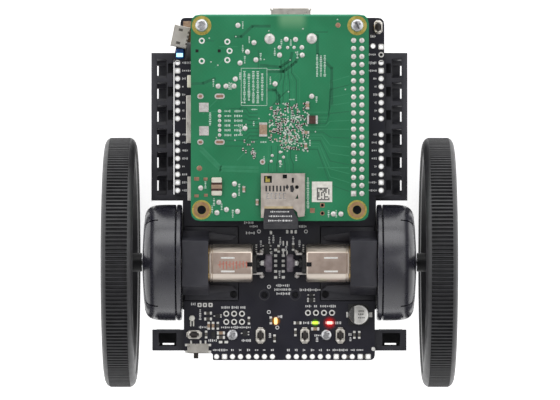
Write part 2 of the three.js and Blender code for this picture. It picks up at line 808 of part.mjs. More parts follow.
const CARD_SOCKET = { x: [-5.8, 8.1], y: [16.5, 28.5], height: 1.45 };
const CARD = {
  x: [-5, 5.9],
  y: [10.8, 25.8],
  z: [COMPUTER.face + 0.45, COMPUTER.face + 1.15],
  corner: 0.5,
};

// the memory card's metal cage: a roof on two sides and a back, open towards the card's mouth
function cardSocket() {
  const z = [COMPUTER.face + CLEAR, COMPUTER.face + CARD_SOCKET.height];
  const inside = {
    x: [CARD.x[0] - GAP, CARD.x[1] + GAP],
    y: [CARD_SOCKET.y[0] - 1, CARD.y[1] + GAP],
    z: [z[0] - 1, CARD.z[1] + GAP / 2],
  };
  return box(CARD_SOCKET.x, CARD_SOCKET.y, z).subtract(box(inside.x, inside.y, inside.z));
}

function memoryCard() {
  const [x, y, z] = [CARD.x, CARD.y, CARD.z];
  const grip = { inset: 0.6, width: 0.9, height: 0.25 };
  const ridge = box(
    [x[0] + grip.inset, x[1] - grip.inset],
    [y[0], y[0] + grip.width],
    [z[1] - JOIN, z[1] + grip.height],
  );
  return roundedBox(x, y, z, CARD.corner).add(ridge);
}

// ---- putting it together ----

function addChassis() {
  add('chassis', 'black_plastic', chassis());
  add('battery_cover', 'black_plastic', batteryCover());
  let number = 1;
  for (const z of CELL_LAYERS) {
    for (const [row, y] of CELL_ROWS.entries()) {
      add(`battery_cell_${number}`, 'cell', cell(row % 2 === 0 ? 1 : -1, y, z));
      number += 1;
    }
  }
  addPair('battery_contacts', 'tin', contactStrip());
}

function addDrive() {
  addPair('gearbox_base', 'gloss_black', gearboxBase());
  addPair('gearbox_cover', 'gloss_black', gearboxCover());
  addPair('bearing_inner', 'steel', bearing(BEARING.inner));
  addPair('bearing_outer', 'steel', bearing(BEARING.outer));
  addPair('output_gear', 'gear', outputGear());
  addPair('pinion', 'gear', pinion());
  addPair('axle', 'steel', axle());
  addPair('motor_clip', 'black_plastic', motorClip());
  addPair('motor_gearbox', 'brass', motorGearbox());
  addPair('motor_can', 'steel', motorCan());
  addPair('encoder_disc', 'steel', encoderDisc());
  addPair('wheel', 'black_plastic', wheel());
  addPair('tyre', 'rubber', tyre());
}

function addControlBoard() {
  add('control_board', 'board_black', controlBoard());
  const screw = { head: 1.75, headHeight: 1.3, shank: BOARD_SCREW.shank, length: BOARD_SCREW.length };
  addPair('board_screw', 'tin', panHeadScrew({
    ...screw, x: BOARD_SCREW.x, y: BOARD_SCREW.y, under: BOARD.face + CLEAR,
  }));
  for (const [name, place] of Object.entries(BUTTONS)) {
    add(name, 'button', plunger(place));
  }
  add('slide_switch_body', 'tin', switchBody());
  add('slide_switch_slider', 'button', switchSlider());
  add('capacitor', 'tin', capacitor());
  add('board_usb_port', 'tin', boardUsbPort());
}

function addComputer() {
  add('computer_board', 'board_green', computerBoard());
  add('header_socket', 'black_plastic', headerSocket());
  add('usb_port', 'tin', usbPort());
  add('hdmi_port', 'tin', hdmiPort());
  add('audio_jack', 'card', audioJack());
  add('power_port', 'tin', powerPort());
  add('card_socket', 'tin', cardSocket());
  add('memory_card', 'card', memoryCard());
  const post = geometryOf(standoff());
  post.translate(STANDOFF.x, STANDOFF.y, 0);
  addPair('standoff', 'tin', solid(post));
  addPair('computer_screw', 'tin', panHeadScrew({
    x: STANDOFF.x, y: STANDOFF.y, head: 2.4, headHeight: 1.7, shank: 1.2, length: 7,
    under: COMPUTER.face + CLEAR,
  }));
}

addChassis();
addDrive();
addControlBoard();
addComputer();

// Lay the robot on its back until the rest edge is level with the bottom of the tyres, then
// move it so that the middle of its box is over the origin and the floor is at Z = 0.
const reach = Math.hypot(REST_EDGE.y, REST_EDGE.z);
const tilt = Math.asin(WHEEL.radius / reach) - Math.atan2(-REST_EDGE.z, REST_EDGE.y);
robot.rotation.x = -tilt;
robot.position.z = WHEEL.radius;
robot.updateMatrixWorld(true);
const extent = new THREE.Box3().setFromObject(robot, true);
robot.position.y = -(extent.min.y + extent.max.y) / 2;

const part = new THREE.Group();
part.add(robot);

export default part;
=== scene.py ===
import json
import math
import random

import bmesh
import bpy
from mathutils import Matrix, Vector


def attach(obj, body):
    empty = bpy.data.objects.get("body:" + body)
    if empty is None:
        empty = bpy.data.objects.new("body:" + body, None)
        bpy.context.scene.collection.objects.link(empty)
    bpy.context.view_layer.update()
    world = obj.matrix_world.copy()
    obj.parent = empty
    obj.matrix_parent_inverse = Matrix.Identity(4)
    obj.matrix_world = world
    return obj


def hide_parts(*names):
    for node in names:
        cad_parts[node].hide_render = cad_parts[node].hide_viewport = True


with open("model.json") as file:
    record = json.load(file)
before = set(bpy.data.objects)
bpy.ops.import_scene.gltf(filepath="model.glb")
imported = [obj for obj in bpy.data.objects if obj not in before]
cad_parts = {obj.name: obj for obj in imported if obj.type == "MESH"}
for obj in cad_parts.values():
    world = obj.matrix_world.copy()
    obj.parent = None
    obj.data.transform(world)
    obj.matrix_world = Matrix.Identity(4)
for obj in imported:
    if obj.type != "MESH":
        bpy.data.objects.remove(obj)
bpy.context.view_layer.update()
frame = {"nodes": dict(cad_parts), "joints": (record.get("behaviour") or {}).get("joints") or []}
NODES = frame["nodes"]
random.seed(11)

# Every piece is drawn in the robot's own upright frame, in millimetres: X to the right wheel,
# Y to the top edge of the boards, Z out of the boards, from the middle of the wheel axle.
JOINTS = {j["name"]: j for j in frame["joints"]}
ACROSS = Vector((1, 0, 0))
OUT = -Vector(JOINTS["button_a_press"]["axis"]).normalized()
UP = OUT.cross(ACROSS)
MIDDLE = (Vector(JOINTS["left_wheel_spin"]["pos_m"]) + Vector(JOINTS["right_wheel_spin"]["pos_m"])) / 2
MM = 0.001
AXES = Matrix((ACROSS, UP, OUT)).transposed().to_4x4()
UPRIGHT = Matrix.Translation(MIDDLE) @ AXES @ Matrix.Scale(MM, 4)
TO_MM = UPRIGHT.inverted()
SIDES = {"left": -1, "right": 1}


def span(node):
    """Lowest and highest corner of a CAD node, upright, in mm."""
    points = [TO_MM @ v.co for v in NODES[node].data.vertices]
    return [Vector(f(p[i] for p in points) for i in range(3)) for f in (min, max)]


BOARD = span("control_board")
COMPUTER = span("computer_board")
FACE = BOARD[1].z                 # the control board's outer face
TOP = COMPUTER[1].z               # the computer board's outer face
MOTOR_Z = sum(p.z for p in span("left_motor_can")) / 2
DRUM = span("right_gearbox_cover")
DRUM_Z = (DRUM[0].z + DRUM[1].z) / 2
DRUM_R = (DRUM[1].y - DRUM[0].y) / 2


# ---- materials ----

def socket_set(bsdf, values):
    """Plain values on the shader's own sockets."""
    for name, value in values.items():
        bsdf.inputs[name].default_value = value


def new_material(name, **values):
    made = bpy.data.materials.new(name)
    made.use_nodes = True
    tree = made.node_tree
    bsdf = tree.nodes["Principled BSDF"]
    socket_set(bsdf, values)
    return made, tree, bsdf


def upright_mm(tree, stretch=(1, 1, 1)):
    """The surface point in the upright frame, in mm, stretched along each axis."""
    place = tree.nodes.new("ShaderNodeTexCoord")
    turn = tree.nodes.new("ShaderNodeMapping")
    turn.inputs["Scale"].default_value = (1 / MM,) * 3
    turn.inputs["Rotation"].default_value = TO_MM.to_euler()
    turn.inputs["Location"].default_value = TO_MM.translation
    scale = tree.nodes.new("ShaderNodeMapping")
    scale.inputs["Scale"].default_value = stretch
    tree.links.new(place.outputs["Object"], turn.inputs["Vector"])
    tree.links.new(turn.outputs["Vector"], scale.inputs["Vector"])
    return scale.outputs["Vector"]


def noise(tree, where, size, detail=3.0):
    """Noise whose patches are about size mm across."""
    node = tree.nodes.new("ShaderNodeTexNoise")
    node.inputs["Scale"].default_value = 1 / size
    node.inputs["Detail"].default_value = detail
    tree.links.new(where, node.inputs["Vector"])
    return node.outputs["Fac"]


def ramp(tree, value, stops):
    node = tree.nodes.new("ShaderNodeValToRGB")
    elements = node.color_ramp.elements
    while len(elements) < len(stops):
        elements.new(0.5)
    for element, (at, colour) in zip(elements, stops):
        element.position = at
        element.color = (*colour, 1)
    tree.links.new(value, node.inputs["Fac"])
    return node.outputs["Color"]


def spread(tree, value, low, high):
    """The middle of a noise's range, spread from low to high."""
    node = tree.nodes.new("ShaderNodeMapRange")
    node.inputs["From Min"].default_value = 0.3
    node.inputs["From Max"].default_value = 0.7
    node.inputs["To Min"].default_value = low
    node.inputs["To Max"].default_value = high
    tree.links.new(value, node.inputs["Value"])
    return node.outputs["Result"]


def bump(tree, bsdf, height, depth):
    node = tree.nodes.new("ShaderNodeBump")
    node.inputs["Distance"].default_value = depth * MM
    tree.links.new(height, node.inputs["Height"])
    tree.links.new(node.outputs["Normal"], bsdf.inputs["Normal"])


def blend(tree, first, second, way, factor):
    """Mixes two colours; second and factor may be a socket or a plain value."""
    mix = tree.nodes.new("ShaderNodeMix")
    mix.data_type = "RGBA"
    mix.blend_type = way
    colours = [s for s in mix.inputs if s.type == "RGBA"]
    tree.links.new(first, colours[0])
    if isinstance(second, tuple):
        colours[1].default_value = (*second, 1)
    else:
        tree.links.new(second, colours[1])
    if isinstance(factor, float):
        mix.inputs["Factor"].default_value = factor
    else:
        tree.links.new(factor, mix.inputs["Factor"])
    return [s for s in mix.outputs if s.type == "RGBA"][0]


def fade(tree, value, start, end):
    """0 at start, 1 at end, smooth between."""
    node = tree.nodes.new("ShaderNodeMapRange")
    node.interpolation_type = "SMOOTHSTEP"
    node.inputs["From Min"].default_value = start
    node.inputs["From Max"].default_value = end
    tree.links.new(value, node.inputs["Value"])
    return node.outputs["Result"]


def product(tree, values):
    """The values multiplied together."""
    total = values[0]
    for value in values[1:]:
        node = tree.nodes.new("ShaderNodeMath")
        node.operation = "MULTIPLY"
        tree.links.new(total, node.inputs[0])
        tree.links.new(value, node.inputs[1])
        total = node.outputs[0]
    return total


def surface(name, dark, light, rough=(0.4, 0.5), patch=6.0, grain=0.4, depth=0.02, stretch=(1, 1, 1),
            **values):
    """A surface with two close tones in patches, uneven roughness and a fine raised grain."""
    made, tree, bsdf = new_material(name, **values)
    where = upright_mm(tree, stretch)
    tone = ramp(tree, noise(tree, where, patch), [(0.35, dark), (0.65, light)])
    tree.links.new(tone, bsdf.inputs["Base Color"])
    tree.links.new(spread(tree, noise(tree, where, patch * 0.6), *rough), bsdf.inputs["Roughness"])
    bump(tree, bsdf, noise(tree, where, grain, 5), depth)
    return made


def metal(name, dark, light, rough=(0.25, 0.4), **more):
    return surface(name, dark, light, rough, Metallic=1.0, **more)


def glow(name, colour, strength):
    made = surface(name, colour, colour, (0.15, 0.25), 1, 0.3, 0.01)
    bsdf = made.node_tree.nodes["Principled BSDF"]
    socket_set(bsdf, {"Emission Color": (*colour, 1), "Emission Strength": strength})
    return made


PLASTIC = surface("moulded_plastic", (0.021, 0.0205, 0.028), (0.03, 0.0295, 0.039), (0.42, 0.55), 5, 0.35,
                  0.03)
GLOSS = surface("gloss_plastic", (0.018, 0.0175, 0.028), (0.024, 0.0235, 0.036), (0.24, 0.3), 8, 1.2, 0.004,
                IOR=1.95)
WHEEL = surface("wheel_plastic", (0.012, 0.012, 0.013), (0.018, 0.018, 0.02), (0.3, 0.42), 6, 0.4, 0.012)
RUBBER = surface("tyre_rubber", (0.016, 0.016, 0.018), (0.026, 0.026, 0.029), (0.38, 0.5), 3, 0.2, 0.02,
                 IOR=1.6)
STEEL = metal("bright_steel", (0.62, 0.62, 0.64), (0.78, 0.78, 0.8), (0.18, 0.34), patch=1.5, grain=0.3,
              depth=0.006)
NICKEL = metal("nickel_plate", (0.70, 0.61, 0.53), (0.78, 0.70, 0.62), (0.3, 0.42), patch=3, grain=0.35,
               depth=0.0015, stretch=(0.15, 1, 1))
BRASS = metal("brass", (0.52, 0.36, 0.14), (0.66, 0.47, 0.2), (0.22, 0.38), patch=2, grain=0.4, depth=0.008)
# darker, half-metallic copy of the nickel plate for the can's flat front: painted shade, since the flat faces
# the dark space straight above
CAN_FLAT_SHADE = surface("can_flat_painted_shade", (0.35, 0.27, 0.225), (0.43, 0.34, 0.29), (0.42, 0.5), 3, 0.4, 0.003,
               Metallic=0.35)
STAMP = surface("red_stamp", (0.5, 0.13, 0.09), (0.6, 0.2, 0.15), (0.5, 0.6), 0.5, 0.2, 0.004)
TIN = metal("socket_tin", (0.60, 0.57, 0.52), (0.74, 0.71, 0.66), (0.25, 0.42), patch=2.5, grain=0.5,
            depth=0.01)
SOLDER = surface("solder", (0.6, 0.57, 0.55), (0.78, 0.75, 0.73), (0.26, 0.4), 0.9, 0.4, 0.01, Metallic=0.6)
PADS = surface("tinned_pads", (0.78, 0.77, 0.74), (0.9, 0.89, 0.86), (0.3, 0.5), 0.5, 0.2, 0.01,
               Metallic=0.25)
GOLD = surface("gold_pads", (0.42, 0.34, 0.07), (0.6, 0.5, 0.13), (0.25, 0.42), 1.2, 0.3, 0.008, Metallic=0.5)
COPPER = metal("copper_pads", (0.4, 0.22, 0.15), (0.52, 0.31, 0.22), (0.3, 0.45), patch=0.8, grain=0.3,
               depth=0.008)
ALUMINIUM = metal("can_aluminium", (0.60, 0.59, 0.56), (0.72, 0.71, 0.69), (0.3, 0.45), patch=2, grain=0.4,
                  depth=0.01)
NYLON = surface("gear_nylon", (0.70, 0.68, 0.62), (0.78, 0.76, 0.7), (0.4, 0.5), 4, 0.5, 0.01)
LAND = metal("dull_land", (0.42, 0.25, 0.13), (0.52, 0.33, 0.18), (0.35, 0.5), patch=1.5, grain=0.3,
             depth=0.006)
WARM_TIN = metal("warm_tin", (0.72, 0.56, 0.33), (0.8, 0.66, 0.42), (0.3, 0.45), patch=1.5, grain=0.4,
                 depth=0.004)
# near-black fill for holes, notches and openings: painted shade
SHADE_FILL = surface("painted_shade_fill", (0.002, 0.002, 0.003), (0.005, 0.005, 0.006), (0.8, 0.9), 2, 0.3, 0.01)
CAGE = metal("cage_tin", (0.66, 0.58, 0.52), (0.8, 0.72, 0.65), (0.3, 0.42), patch=2.5, grain=0.5,
             depth=0.004)
LEGEND = surface("green_board_marks", (0.4, 0.56, 0.46), (0.58, 0.7, 0.62), (0.5, 0.6), 0.5, 0.2, 0.004)
MARKS = surface("printed_marks", (0.62, 0.62, 0.62), (0.8, 0.8, 0.8), (0.5, 0.6), 0.5, 0.2, 0.004)
CHIP = surface("chip_resin", (0.012, 0.012, 0.013), (0.024, 0.024, 0.026), (0.45, 0.6), 0.8, 0.2, 0.02)
CERAMIC = surface("grey_ceramic", (0.06, 0.055, 0.05), (0.13, 0.12, 0.105), (0.35, 0.5), 0.7, 0.2, 0.01)
TAN = surface("tan_ceramic", (0.3, 0.2, 0.13), (0.42, 0.3, 0.21), (0.35, 0.5), 0.7, 0.2, 0.01)
CORE = surface("brown_core", (0.035, 0.012, 0.008), (0.075, 0.03, 0.02), (0.4, 0.55), 0.9, 0.2, 0.02)
KEY = surface("key_plastic", (0.012, 0.009, 0.008), (0.03, 0.022, 0.019), (0.3, 0.45), 0.8, 0.2, 0.01)
SOCKET = surface("socket_plastic", (0.008, 0.008, 0.009), (0.014, 0.014, 0.015), (0.4, 0.5), 2, 0.3, 0.02)
CREAM = surface("cream_plastic", (0.62, 0.6, 0.5), (0.74, 0.72, 0.62), (0.4, 0.5), 2, 0.3, 0.01)
DISC = surface("encoder_disc", (0.085, 0.07, 0.09), (0.15, 0.13, 0.155), (0.35, 0.5), 1.2, 0.3, 0.01)
CARD = surface("card_plastic", (0.028, 0.028, 0.033), (0.045, 0.044, 0.05), (0.35, 0.5), 2, 0.25, 0.015)
STICKER = surface("paper_label", (0.66, 0.64, 0.58), (0.8, 0.78, 0.72), (0.5, 0.6), 1.2, 0.2, 0.006)
INK = surface("label_ink", (0.04, 0.04, 0.04), (0.08, 0.08, 0.08), (0.5, 0.6), 0.6, 0.2, 0.004)
TRACK = surface("covered_track", (0.022, 0.215, 0.095), (0.03, 0.235, 0.112), (0.3, 0.4), 2, 0.3, 0.004)
TRACK_DARK = surface("deep_track", (0.008, 0.125, 0.055), (0.012, 0.145, 0.068), (0.3, 0.4), 2, 0.3, 0.004)
EDGE = surface("board_edge", (0.36, 0.40, 0.26), (0.5, 0.54, 0.36), (0.6, 0.7), 1, 0.2, 0.01)
LENS = surface("clear_lens", (0.7, 0.69, 0.62), (0.85, 0.84, 0.78), (0.12, 0.25), 0.8, 0.3, 0.01)
AMBER_LIGHT = glow("amber_light", (1.0, 0.66, 0.25), 1.7)
GREEN_LIGHT = glow("green_light", (0.55, 0.8, 0.07), 1.0)
RED_LIGHT = glow("red_light", (1.0, 0.42, 0.36), 1.6)
BLUE_LIGHT = glow("blue_light", (0.3, 0.75, 1.0), 2.2)
BLUE_LENS = surface("blue_lens", (0.008, 0.05, 0.2), (0.015, 0.09, 0.32), (0.12, 0.22), 1, 0.3, 0.006)


def board_mask(name, dark, light, cloth, lit=None):
    """Solder mask: two tones in wide patches, over the fine weave of the glass cloth."""
    made, tree, bsdf = new_material(name)
    where = upright_mm(tree)
    base = ramp(tree, noise(tree, where, 16, 2), [(0.35, dark), (0.65, light)])
    weave = tree.nodes.new("ShaderNodeTexChecker")
    weave.inputs["Scale"].default_value = 1.6
    weave.inputs["Color1"].default_value = (1, 1, 1, 1)
    weave.inputs["Color2"].default_value = (*cloth, 1)
    tree.links.new(where, weave.inputs["Vector"])
    tone = blend(tree, base, weave.outputs["Color"], "MULTIPLY", 1.0)
    if lit:
        tone = lit(tree, where, tone)
    tree.links.new(tone, bsdf.inputs["Base Color"])
    tree.links.new(spread(tree, noise(tree, where, 5), 0.3, 0.42), bsdf.inputs["Roughness"])
    bump(tree, bsdf, noise(tree, where, 0.5, 4), 0.006)
    return made


def lit_top(tree, where, tone):
    """Light through the green board above the plug socket, and along its top edge."""
    apart = tree.nodes.new("ShaderNodeSeparateXYZ")
    tree.links.new(where, apart.inputs[0])
    x, y = apart.outputs["X"], apart.outputs["Y"]
    patch = product(tree, [fade(tree, y, 72.5, 77.5), fade(tree, x, -1.5, 1.5), fade(tree, x, 9.5, 6.5)])
    tone = blend(tree, tone, (0.13, 0.33, 0.17), "MIX", patch)
    return blend(tree, tone, (0.09, 0.42, 0.25), "MIX", fade(tree, y, 77.7, 78.5))


BLACK_MASK = board_mask("black_mask", (0.006, 0.0055, 0.013), (0.0095, 0.009, 0.02), (0.93, 0.93, 0.94))
GREEN_MASK = board_mask("green_mask", (0.008, 0.175, 0.07), (0.016, 0.22, 0.096), (0.96, 0.97, 0.96), lit_top)


# ---- shapes: lists of points and faces in upright mm ----

class Shape:
    """Points, faces and each face's material number."""

    def __init__(self):
        self.points = []
        self.faces = []
        self.paint = []

    def add(self, points, faces, colour=0):
        start = len(self.points)
        self.points += [Vector(p) for p in points]
        self.faces += [[start + i for i in face] for face in faces]
        self.paint += [colour] * len(faces)

    def block(self, x, y, z, soft=0.0, colour=0, turn=0.0):
        """A box with chamfered edges; x, y and z are (low, high), turn is about Z through its middle."""
        low, high = Vector((x[0], y[0], z[0])), Vector((x[1], y[1], z[1]))
        centre, half = (low + high) / 2, (high - low) / 2
        soft = min(soft, *[h * 0.9 for h in half])
        spin = Matrix.Rotation(turn, 3, "Z")
        if soft <= 0:
            corners = [Vector((sx * half.x, sy * half.y, sz * half.z))
                       for sx in (-1, 1) for sy in (-1, 1) for sz in (-1, 1)]
            faces = [(0, 1, 3, 2), (4, 6, 7, 5), (0, 4, 5, 1), (2, 3, 7, 6), (0, 2, 6, 4), (1, 5, 7, 3)]
            self.add([centre + spin @ c for c in corners], faces, colour)
            return
        at, points = {}, []
        for s in [(sx, sy, sz) for sx in (-1, 1) for sy in (-1, 1) for sz in (-1, 1)]:
            for axis in range(3):
                p = Vector(s[i] * (half[i] - (0 if i == axis else soft)) for i in range(3))
                at[s, axis] = len(points)
                points.append(centre + spin @ p)
        faces = []
        for axis in range(3):
            a, b = [i for i in range(3) if i != axis]
            for s in (-1, 1):
                loop = []
                for sa, sb in ((-1, -1), (1, -1), (1, 1), (-1, 1)):
                    key = [0, 0, 0]
                    key[axis], key[a], key[b] = s, sa, sb
                    loop.append(at[tuple(key), axis])
                faces.append(loop)
            for sa, sb in ((-1, -1), (1, -1), (1, 1), (-1, 1)):
                ends = []
                for s in (-1, 1):
                    key = [0, 0, 0]
                    key[axis], key[a], key[b] = s, sa, sb
                    ends.append(tuple(key))
                faces.append([at[ends[0], a], at[ends[1], a], at[ends[1], b], at[ends[0], b]])
        for s in {key for key, _ in at}:
            faces.append([at[s, 0], at[s, 1], at[s, 2]])
        self.add(points, faces, colour)

    def pad(self, x, y, half_x, half_y, z, soft=0.0, colour=0, turn=0.0):
        """A block about its middle."""
        self.block((x - half_x, x + half_x), (y - half_y, y + half_y), z, soft, colour, turn)

    def turned(self, profile, centre, axis="z", steps=24, closed=False, colour=0, ribs=None):
        """Turns (radius, along) points about an axis through centre, which is given across that axis."""
        points, rings = [], []
        count = len(profile)
        for k in range(steps):
            angle = 2 * math.pi * k / steps
            for i, (radius, along) in enumerate(profile):
                r = ribs(i, k, radius) if ribs else radius
                a, b = r * math.cos(angle), r * math.sin(angle)
                if axis == "z":
                    points.append((centre[0] + a, centre[1] + b, along))
                else:
                    points.append((along, centre[0] + a, centre[1] + b))
            rings.append(k * count)
        faces = []
        for k in range(steps):
            a, b = rings[k], rings[(k + 1) % steps]
            last = count if closed else count - 1
            for i in range(last):
                j = (i + 1) % count
                faces.append([a + i, a + j, b + j, b + i])
        self.add(points, faces, colour)

    def prism(self, outline, z, colour=0):
        """An outline of (x, y) points between two heights."""
        count = len(outline)
        points = [(x, y, z[0]) for x, y in outline] + [(x, y, z[1]) for x, y in outline]
        faces = [list(range(count))[::-1], list(range(count, 2 * count))]
        faces += [[i, (i + 1) % count, count + (i + 1) % count, count + i] for i in range(count)]
        self.add(points, faces, colour)

    def along_x(self, loops, colour=0):
        """Skin over loops of (y, z) points, each at its own x: [(x, loop), ...], closed at both ends."""
        count = len(loops[0][1])
        points = [(x, y, z) for x, loop in loops for y, z in loop]
        faces = [list(range(count)), list(range((len(loops) - 1) * count, len(loops) * count))]
        for k in range(len(loops) - 1):
            a, b = k * count, (k + 1) * count
            faces += [[a + i, a + (i + 1) % count, b + (i + 1) % count, b + i] for i in range(count)]
        self.add(points, faces, colour)

    def mirrored(self, side):
        """The same shape on the left (-1) or right (1)."""
        for p in self.points:
            p.x *= side
        return self


def mesh_of(name, shape):
    """The shape as a mesh, closed up and turned into the frame."""
    mesh = bpy.data.meshes.new(name)
    mesh.from_pydata([tuple(p) for p in shape.points], [], shape.faces)
    mesh.polygons.foreach_set("material_index", shape.paint)
    work = bmesh.new()
    work.from_mesh(mesh)
    bmesh.ops.remove_doubles(work, verts=work.verts[:], dist=1e-5)
    bmesh.ops.recalc_face_normals(work, faces=work.faces[:])
    work.to_mesh(mesh)
    work.free()
    mesh.transform(UPRIGHT)
    return mesh


def show(name, mesh, materials, body, smooth):
    obj = bpy.data.objects.new(name, mesh)
    bpy.context.scene.collection.objects.link(obj)
    if mesh.materials:
        mesh.materials.clear()
    for m in materials if isinstance(materials, (list, tuple)) else [materials]:
        mesh.materials.append(m)
    mesh.polygons.foreach_set("use_smooth", [True] * len(mesh.polygons))
    mesh.set_sharp_from_angle(angle=math.radians(smooth))
    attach(obj, body)
    return obj


def piece(name, shape, materials, body="robot_body", replaces=(), smooth=35):
    obj = show(name, mesh_of(name, shape), materials, body, smooth)
    if replaces:
        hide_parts(*replaces)
    return obj


def carve(obj, shape):
    """Cuts a shape out of a piece for good."""
    cutter = bpy.data.objects.new("cutter", mesh_of("cutter", shape))
    bpy.context.scene.collection.objects.link(cutter)
    modifier = obj.modifiers.new("carve", "BOOLEAN")
    modifier.object = cutter
    modifier.solver = "EXACT"
    modifier.operation = "DIFFERENCE"
    bpy.context.view_layer.update()
    graph = bpy.context.evaluated_depsgraph_get()
    mesh = bpy.data.meshes.new_from_object(obj.evaluated_get(graph))
    obj.modifiers.clear()
    obj.data = mesh
    bpy.data.objects.remove(cutter)
    mesh.polygons.foreach_set("use_smooth", [True] * len(mesh.polygons))
    mesh.set_sharp_from_angle(angle=math.radians(35))
    return obj


def cleaned(name, node, materials, body="robot_body"):
    """A piece with exactly the CAD node's shape, as one clean mesh that can be carved."""
    mesh = NODES[node].data.copy()
    work = bmesh.new()
    work.from_mesh(mesh)
    bmesh.ops.remove_doubles(work, verts=work.verts[:], dist=1e-7)
    bmesh.ops.dissolve_limit(work, angle_limit=math.radians(0.5), verts=work.verts[:], edges=work.edges[:])
    bmesh.ops.recalc_face_normals(work, faces=work.faces[:])
    work.to_mesh(mesh)
    work.free()
    obj = show(name, mesh, materials, body, 35)
    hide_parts(node)
    return obj


def soften(obj, width, segments=2):
    """Rounds a piece's or CAD node's edges with modifiers."""
    weld = obj.modifiers.new("weld", "WELD")
    weld.merge_threshold = 1e-6
    bevel = obj.modifiers.new("bevel", "BEVEL")
    bevel.width = width * MM
    bevel.segments = segments
    bevel.limit_method = "ANGLE"
    bevel.angle_limit = math.radians(32)
    bevel.harden_normals = True
    bevel.use_clamp_overlap = True
    return obj


def finish_node(node, material, edge=0.15):
    """Keeps a CAD node's shape: gives it a material and softened edges."""
    obj = NODES[node]
    obj.data.materials.clear()
    obj.data.materials.append(material)
    obj.data.polygons.foreach_set("use_smooth", [True] * len(obj.data.polygons))
    if edge:
        soften(obj, edge)
    return obj


def on_board(low, high):
    """Two heights above the control board's face."""
    return FACE + low, FACE + high


def circle(x, y, radius, steps=20):
    return [(x + radius * math.cos(2 * math.pi * k / steps), y + radius * math.sin(2 * math.pi * k / steps))
            for k in range(steps)]


def rod(shape, x, y, radius, z, steps=20, colour=0, crown=0.0):
    """An upright rod along Z, its upper edge rounded by crown."""
    profile = [(1e-4, z[0]), (radius, z[0]), (radius, z[1] - crown)]
    if crown:
        profile += [(radius - crown * 0.3, z[1] - crown * 0.3), (radius - crown, z[1])]
    profile.append((1e-4, z[1]))
    shape.turned(profile, (x, y), "z", steps, colour=colour)


def ring_pad(shape, x, y, outer, hole, z, square=False, colour=0):
    """A plated hole: pad on both faces of the board and a barrel through it."""
    steps = 20
    rim = circle(x, y, outer, steps)
    if square:
        rim = []
        for k in range(steps):
            a = 2 * math.pi * k / steps
            reach = outer / max(abs(math.cos(a)), abs(math.sin(a)))
            rim.append((x + reach * math.cos(a), y + reach * math.sin(a)))
    bore = circle(x, y, hole, steps)
    loops = [[(*p, z[0]) for p in rim], [(*p, z[1]) for p in rim], [(*p, z[1]) for p in bore],
             [(*p, z[0]) for p in bore]]
    points = [p for loop in loops for p in loop]
    faces = []
    for k in range(4):
        a, b = k * steps, ((k + 1) % 4) * steps
        faces += [[a + i, a + (i + 1) % steps, b + (i + 1) % steps, b + i] for i in range(steps)]
    shape.add(points, faces, colour)


def dome(shape, x, y, radius, height, z, colour=0):
    """A solder joint: a low dome on the board."""
    profile = [(radius * math.cos(a), z + height * math.sin(a))
               for a in [math.radians(d) for d in (0, 20, 42, 64, 80)]]
    shape.turned([(radius, z - 0.05)] + profile + [(1e-4, z + height)], (x, y), "z", 16, colour=colour)


def chip(shape, x, y, long, wide, tall, z, upright=False, body=0, ends=1, cap=0.28):
    """A resistor or capacitor: a body between two soldered metal ends."""
    hx, hy = (wide / 2, long / 2) if upright else (long / 2, wide / 2)
    cx, cy = (hx, long * cap) if upright else (long * cap, hy)
    shape.pad(x, y, hx * 0.96, hy * 0.96, (z, z + tall), 0.06, body)
    for s in (-1, 1):
        if upright:
            low = (x - hx, x + hx), sorted((y + s * hy, y + s * (hy - cy)))
        else:
            low = sorted((x + s * hx, x + s * (hx - cx))), (y - hy, y + hy)
        shape.block(*low, (z - 0.02, z + tall + 0.03), 0.08, ends)


# ---- wheels and tyres ----

WHEEL_R = span("right_tyre")[1].y - 0.02
WHEEL_X = (span("right_tyre")[0].x, span("right_tyre")[1].x)
RIBS = 192
RIB_DEPTH = 0.75
SPOKES = 5
SPOKE_SECTIONS = [(3.6, 3.4), (6, 2.9), (12, 2.75), (24, 2.75), (30, 3.1), (33.4, 4.2)]    # reach, half width


def tyre(side):
    """A round-shouldered band with straight ribs across its tread."""
    x0, x1 = WHEEL_X
    band = [(WHEEL_R - 0.05, x0 + 1.85), (WHEEL_R, x0 + 2.1), (WHEEL_R, x1 - 2.0),
            (WHEEL_R - 0.05, x1 - 1.75)]
    profile = [(36, x0 + 0.3), (36.4, x0), (37.6, x0 + 0.05), (38.6, x0 + 0.35), (39.35, x0 + 0.85),
               (39.75, x0 + 1.35), (39.9, x0 + 1.7)]
    first = len(profile)
    profile += band
    profile += [(39.88, x1 - 1.6), (39.75, x1 - 1.3), (39.3, x1 - 0.7), (38.4, x1 - 0.2), (37.4, x1),
                (36.4, x1 - 0.05), (36, x1 - 0.4)]
    low = range(first, first + len(band))

    def ribs(i, k, radius):
        return WHEEL_R - RIB_DEPTH if i in low and k % 4 in (2, 3) else radius

    shape = Shape()
    shape.turned(profile, (0, 0), "x", RIBS * 4, closed=True, ribs=ribs)
    return shape.mirrored(side)


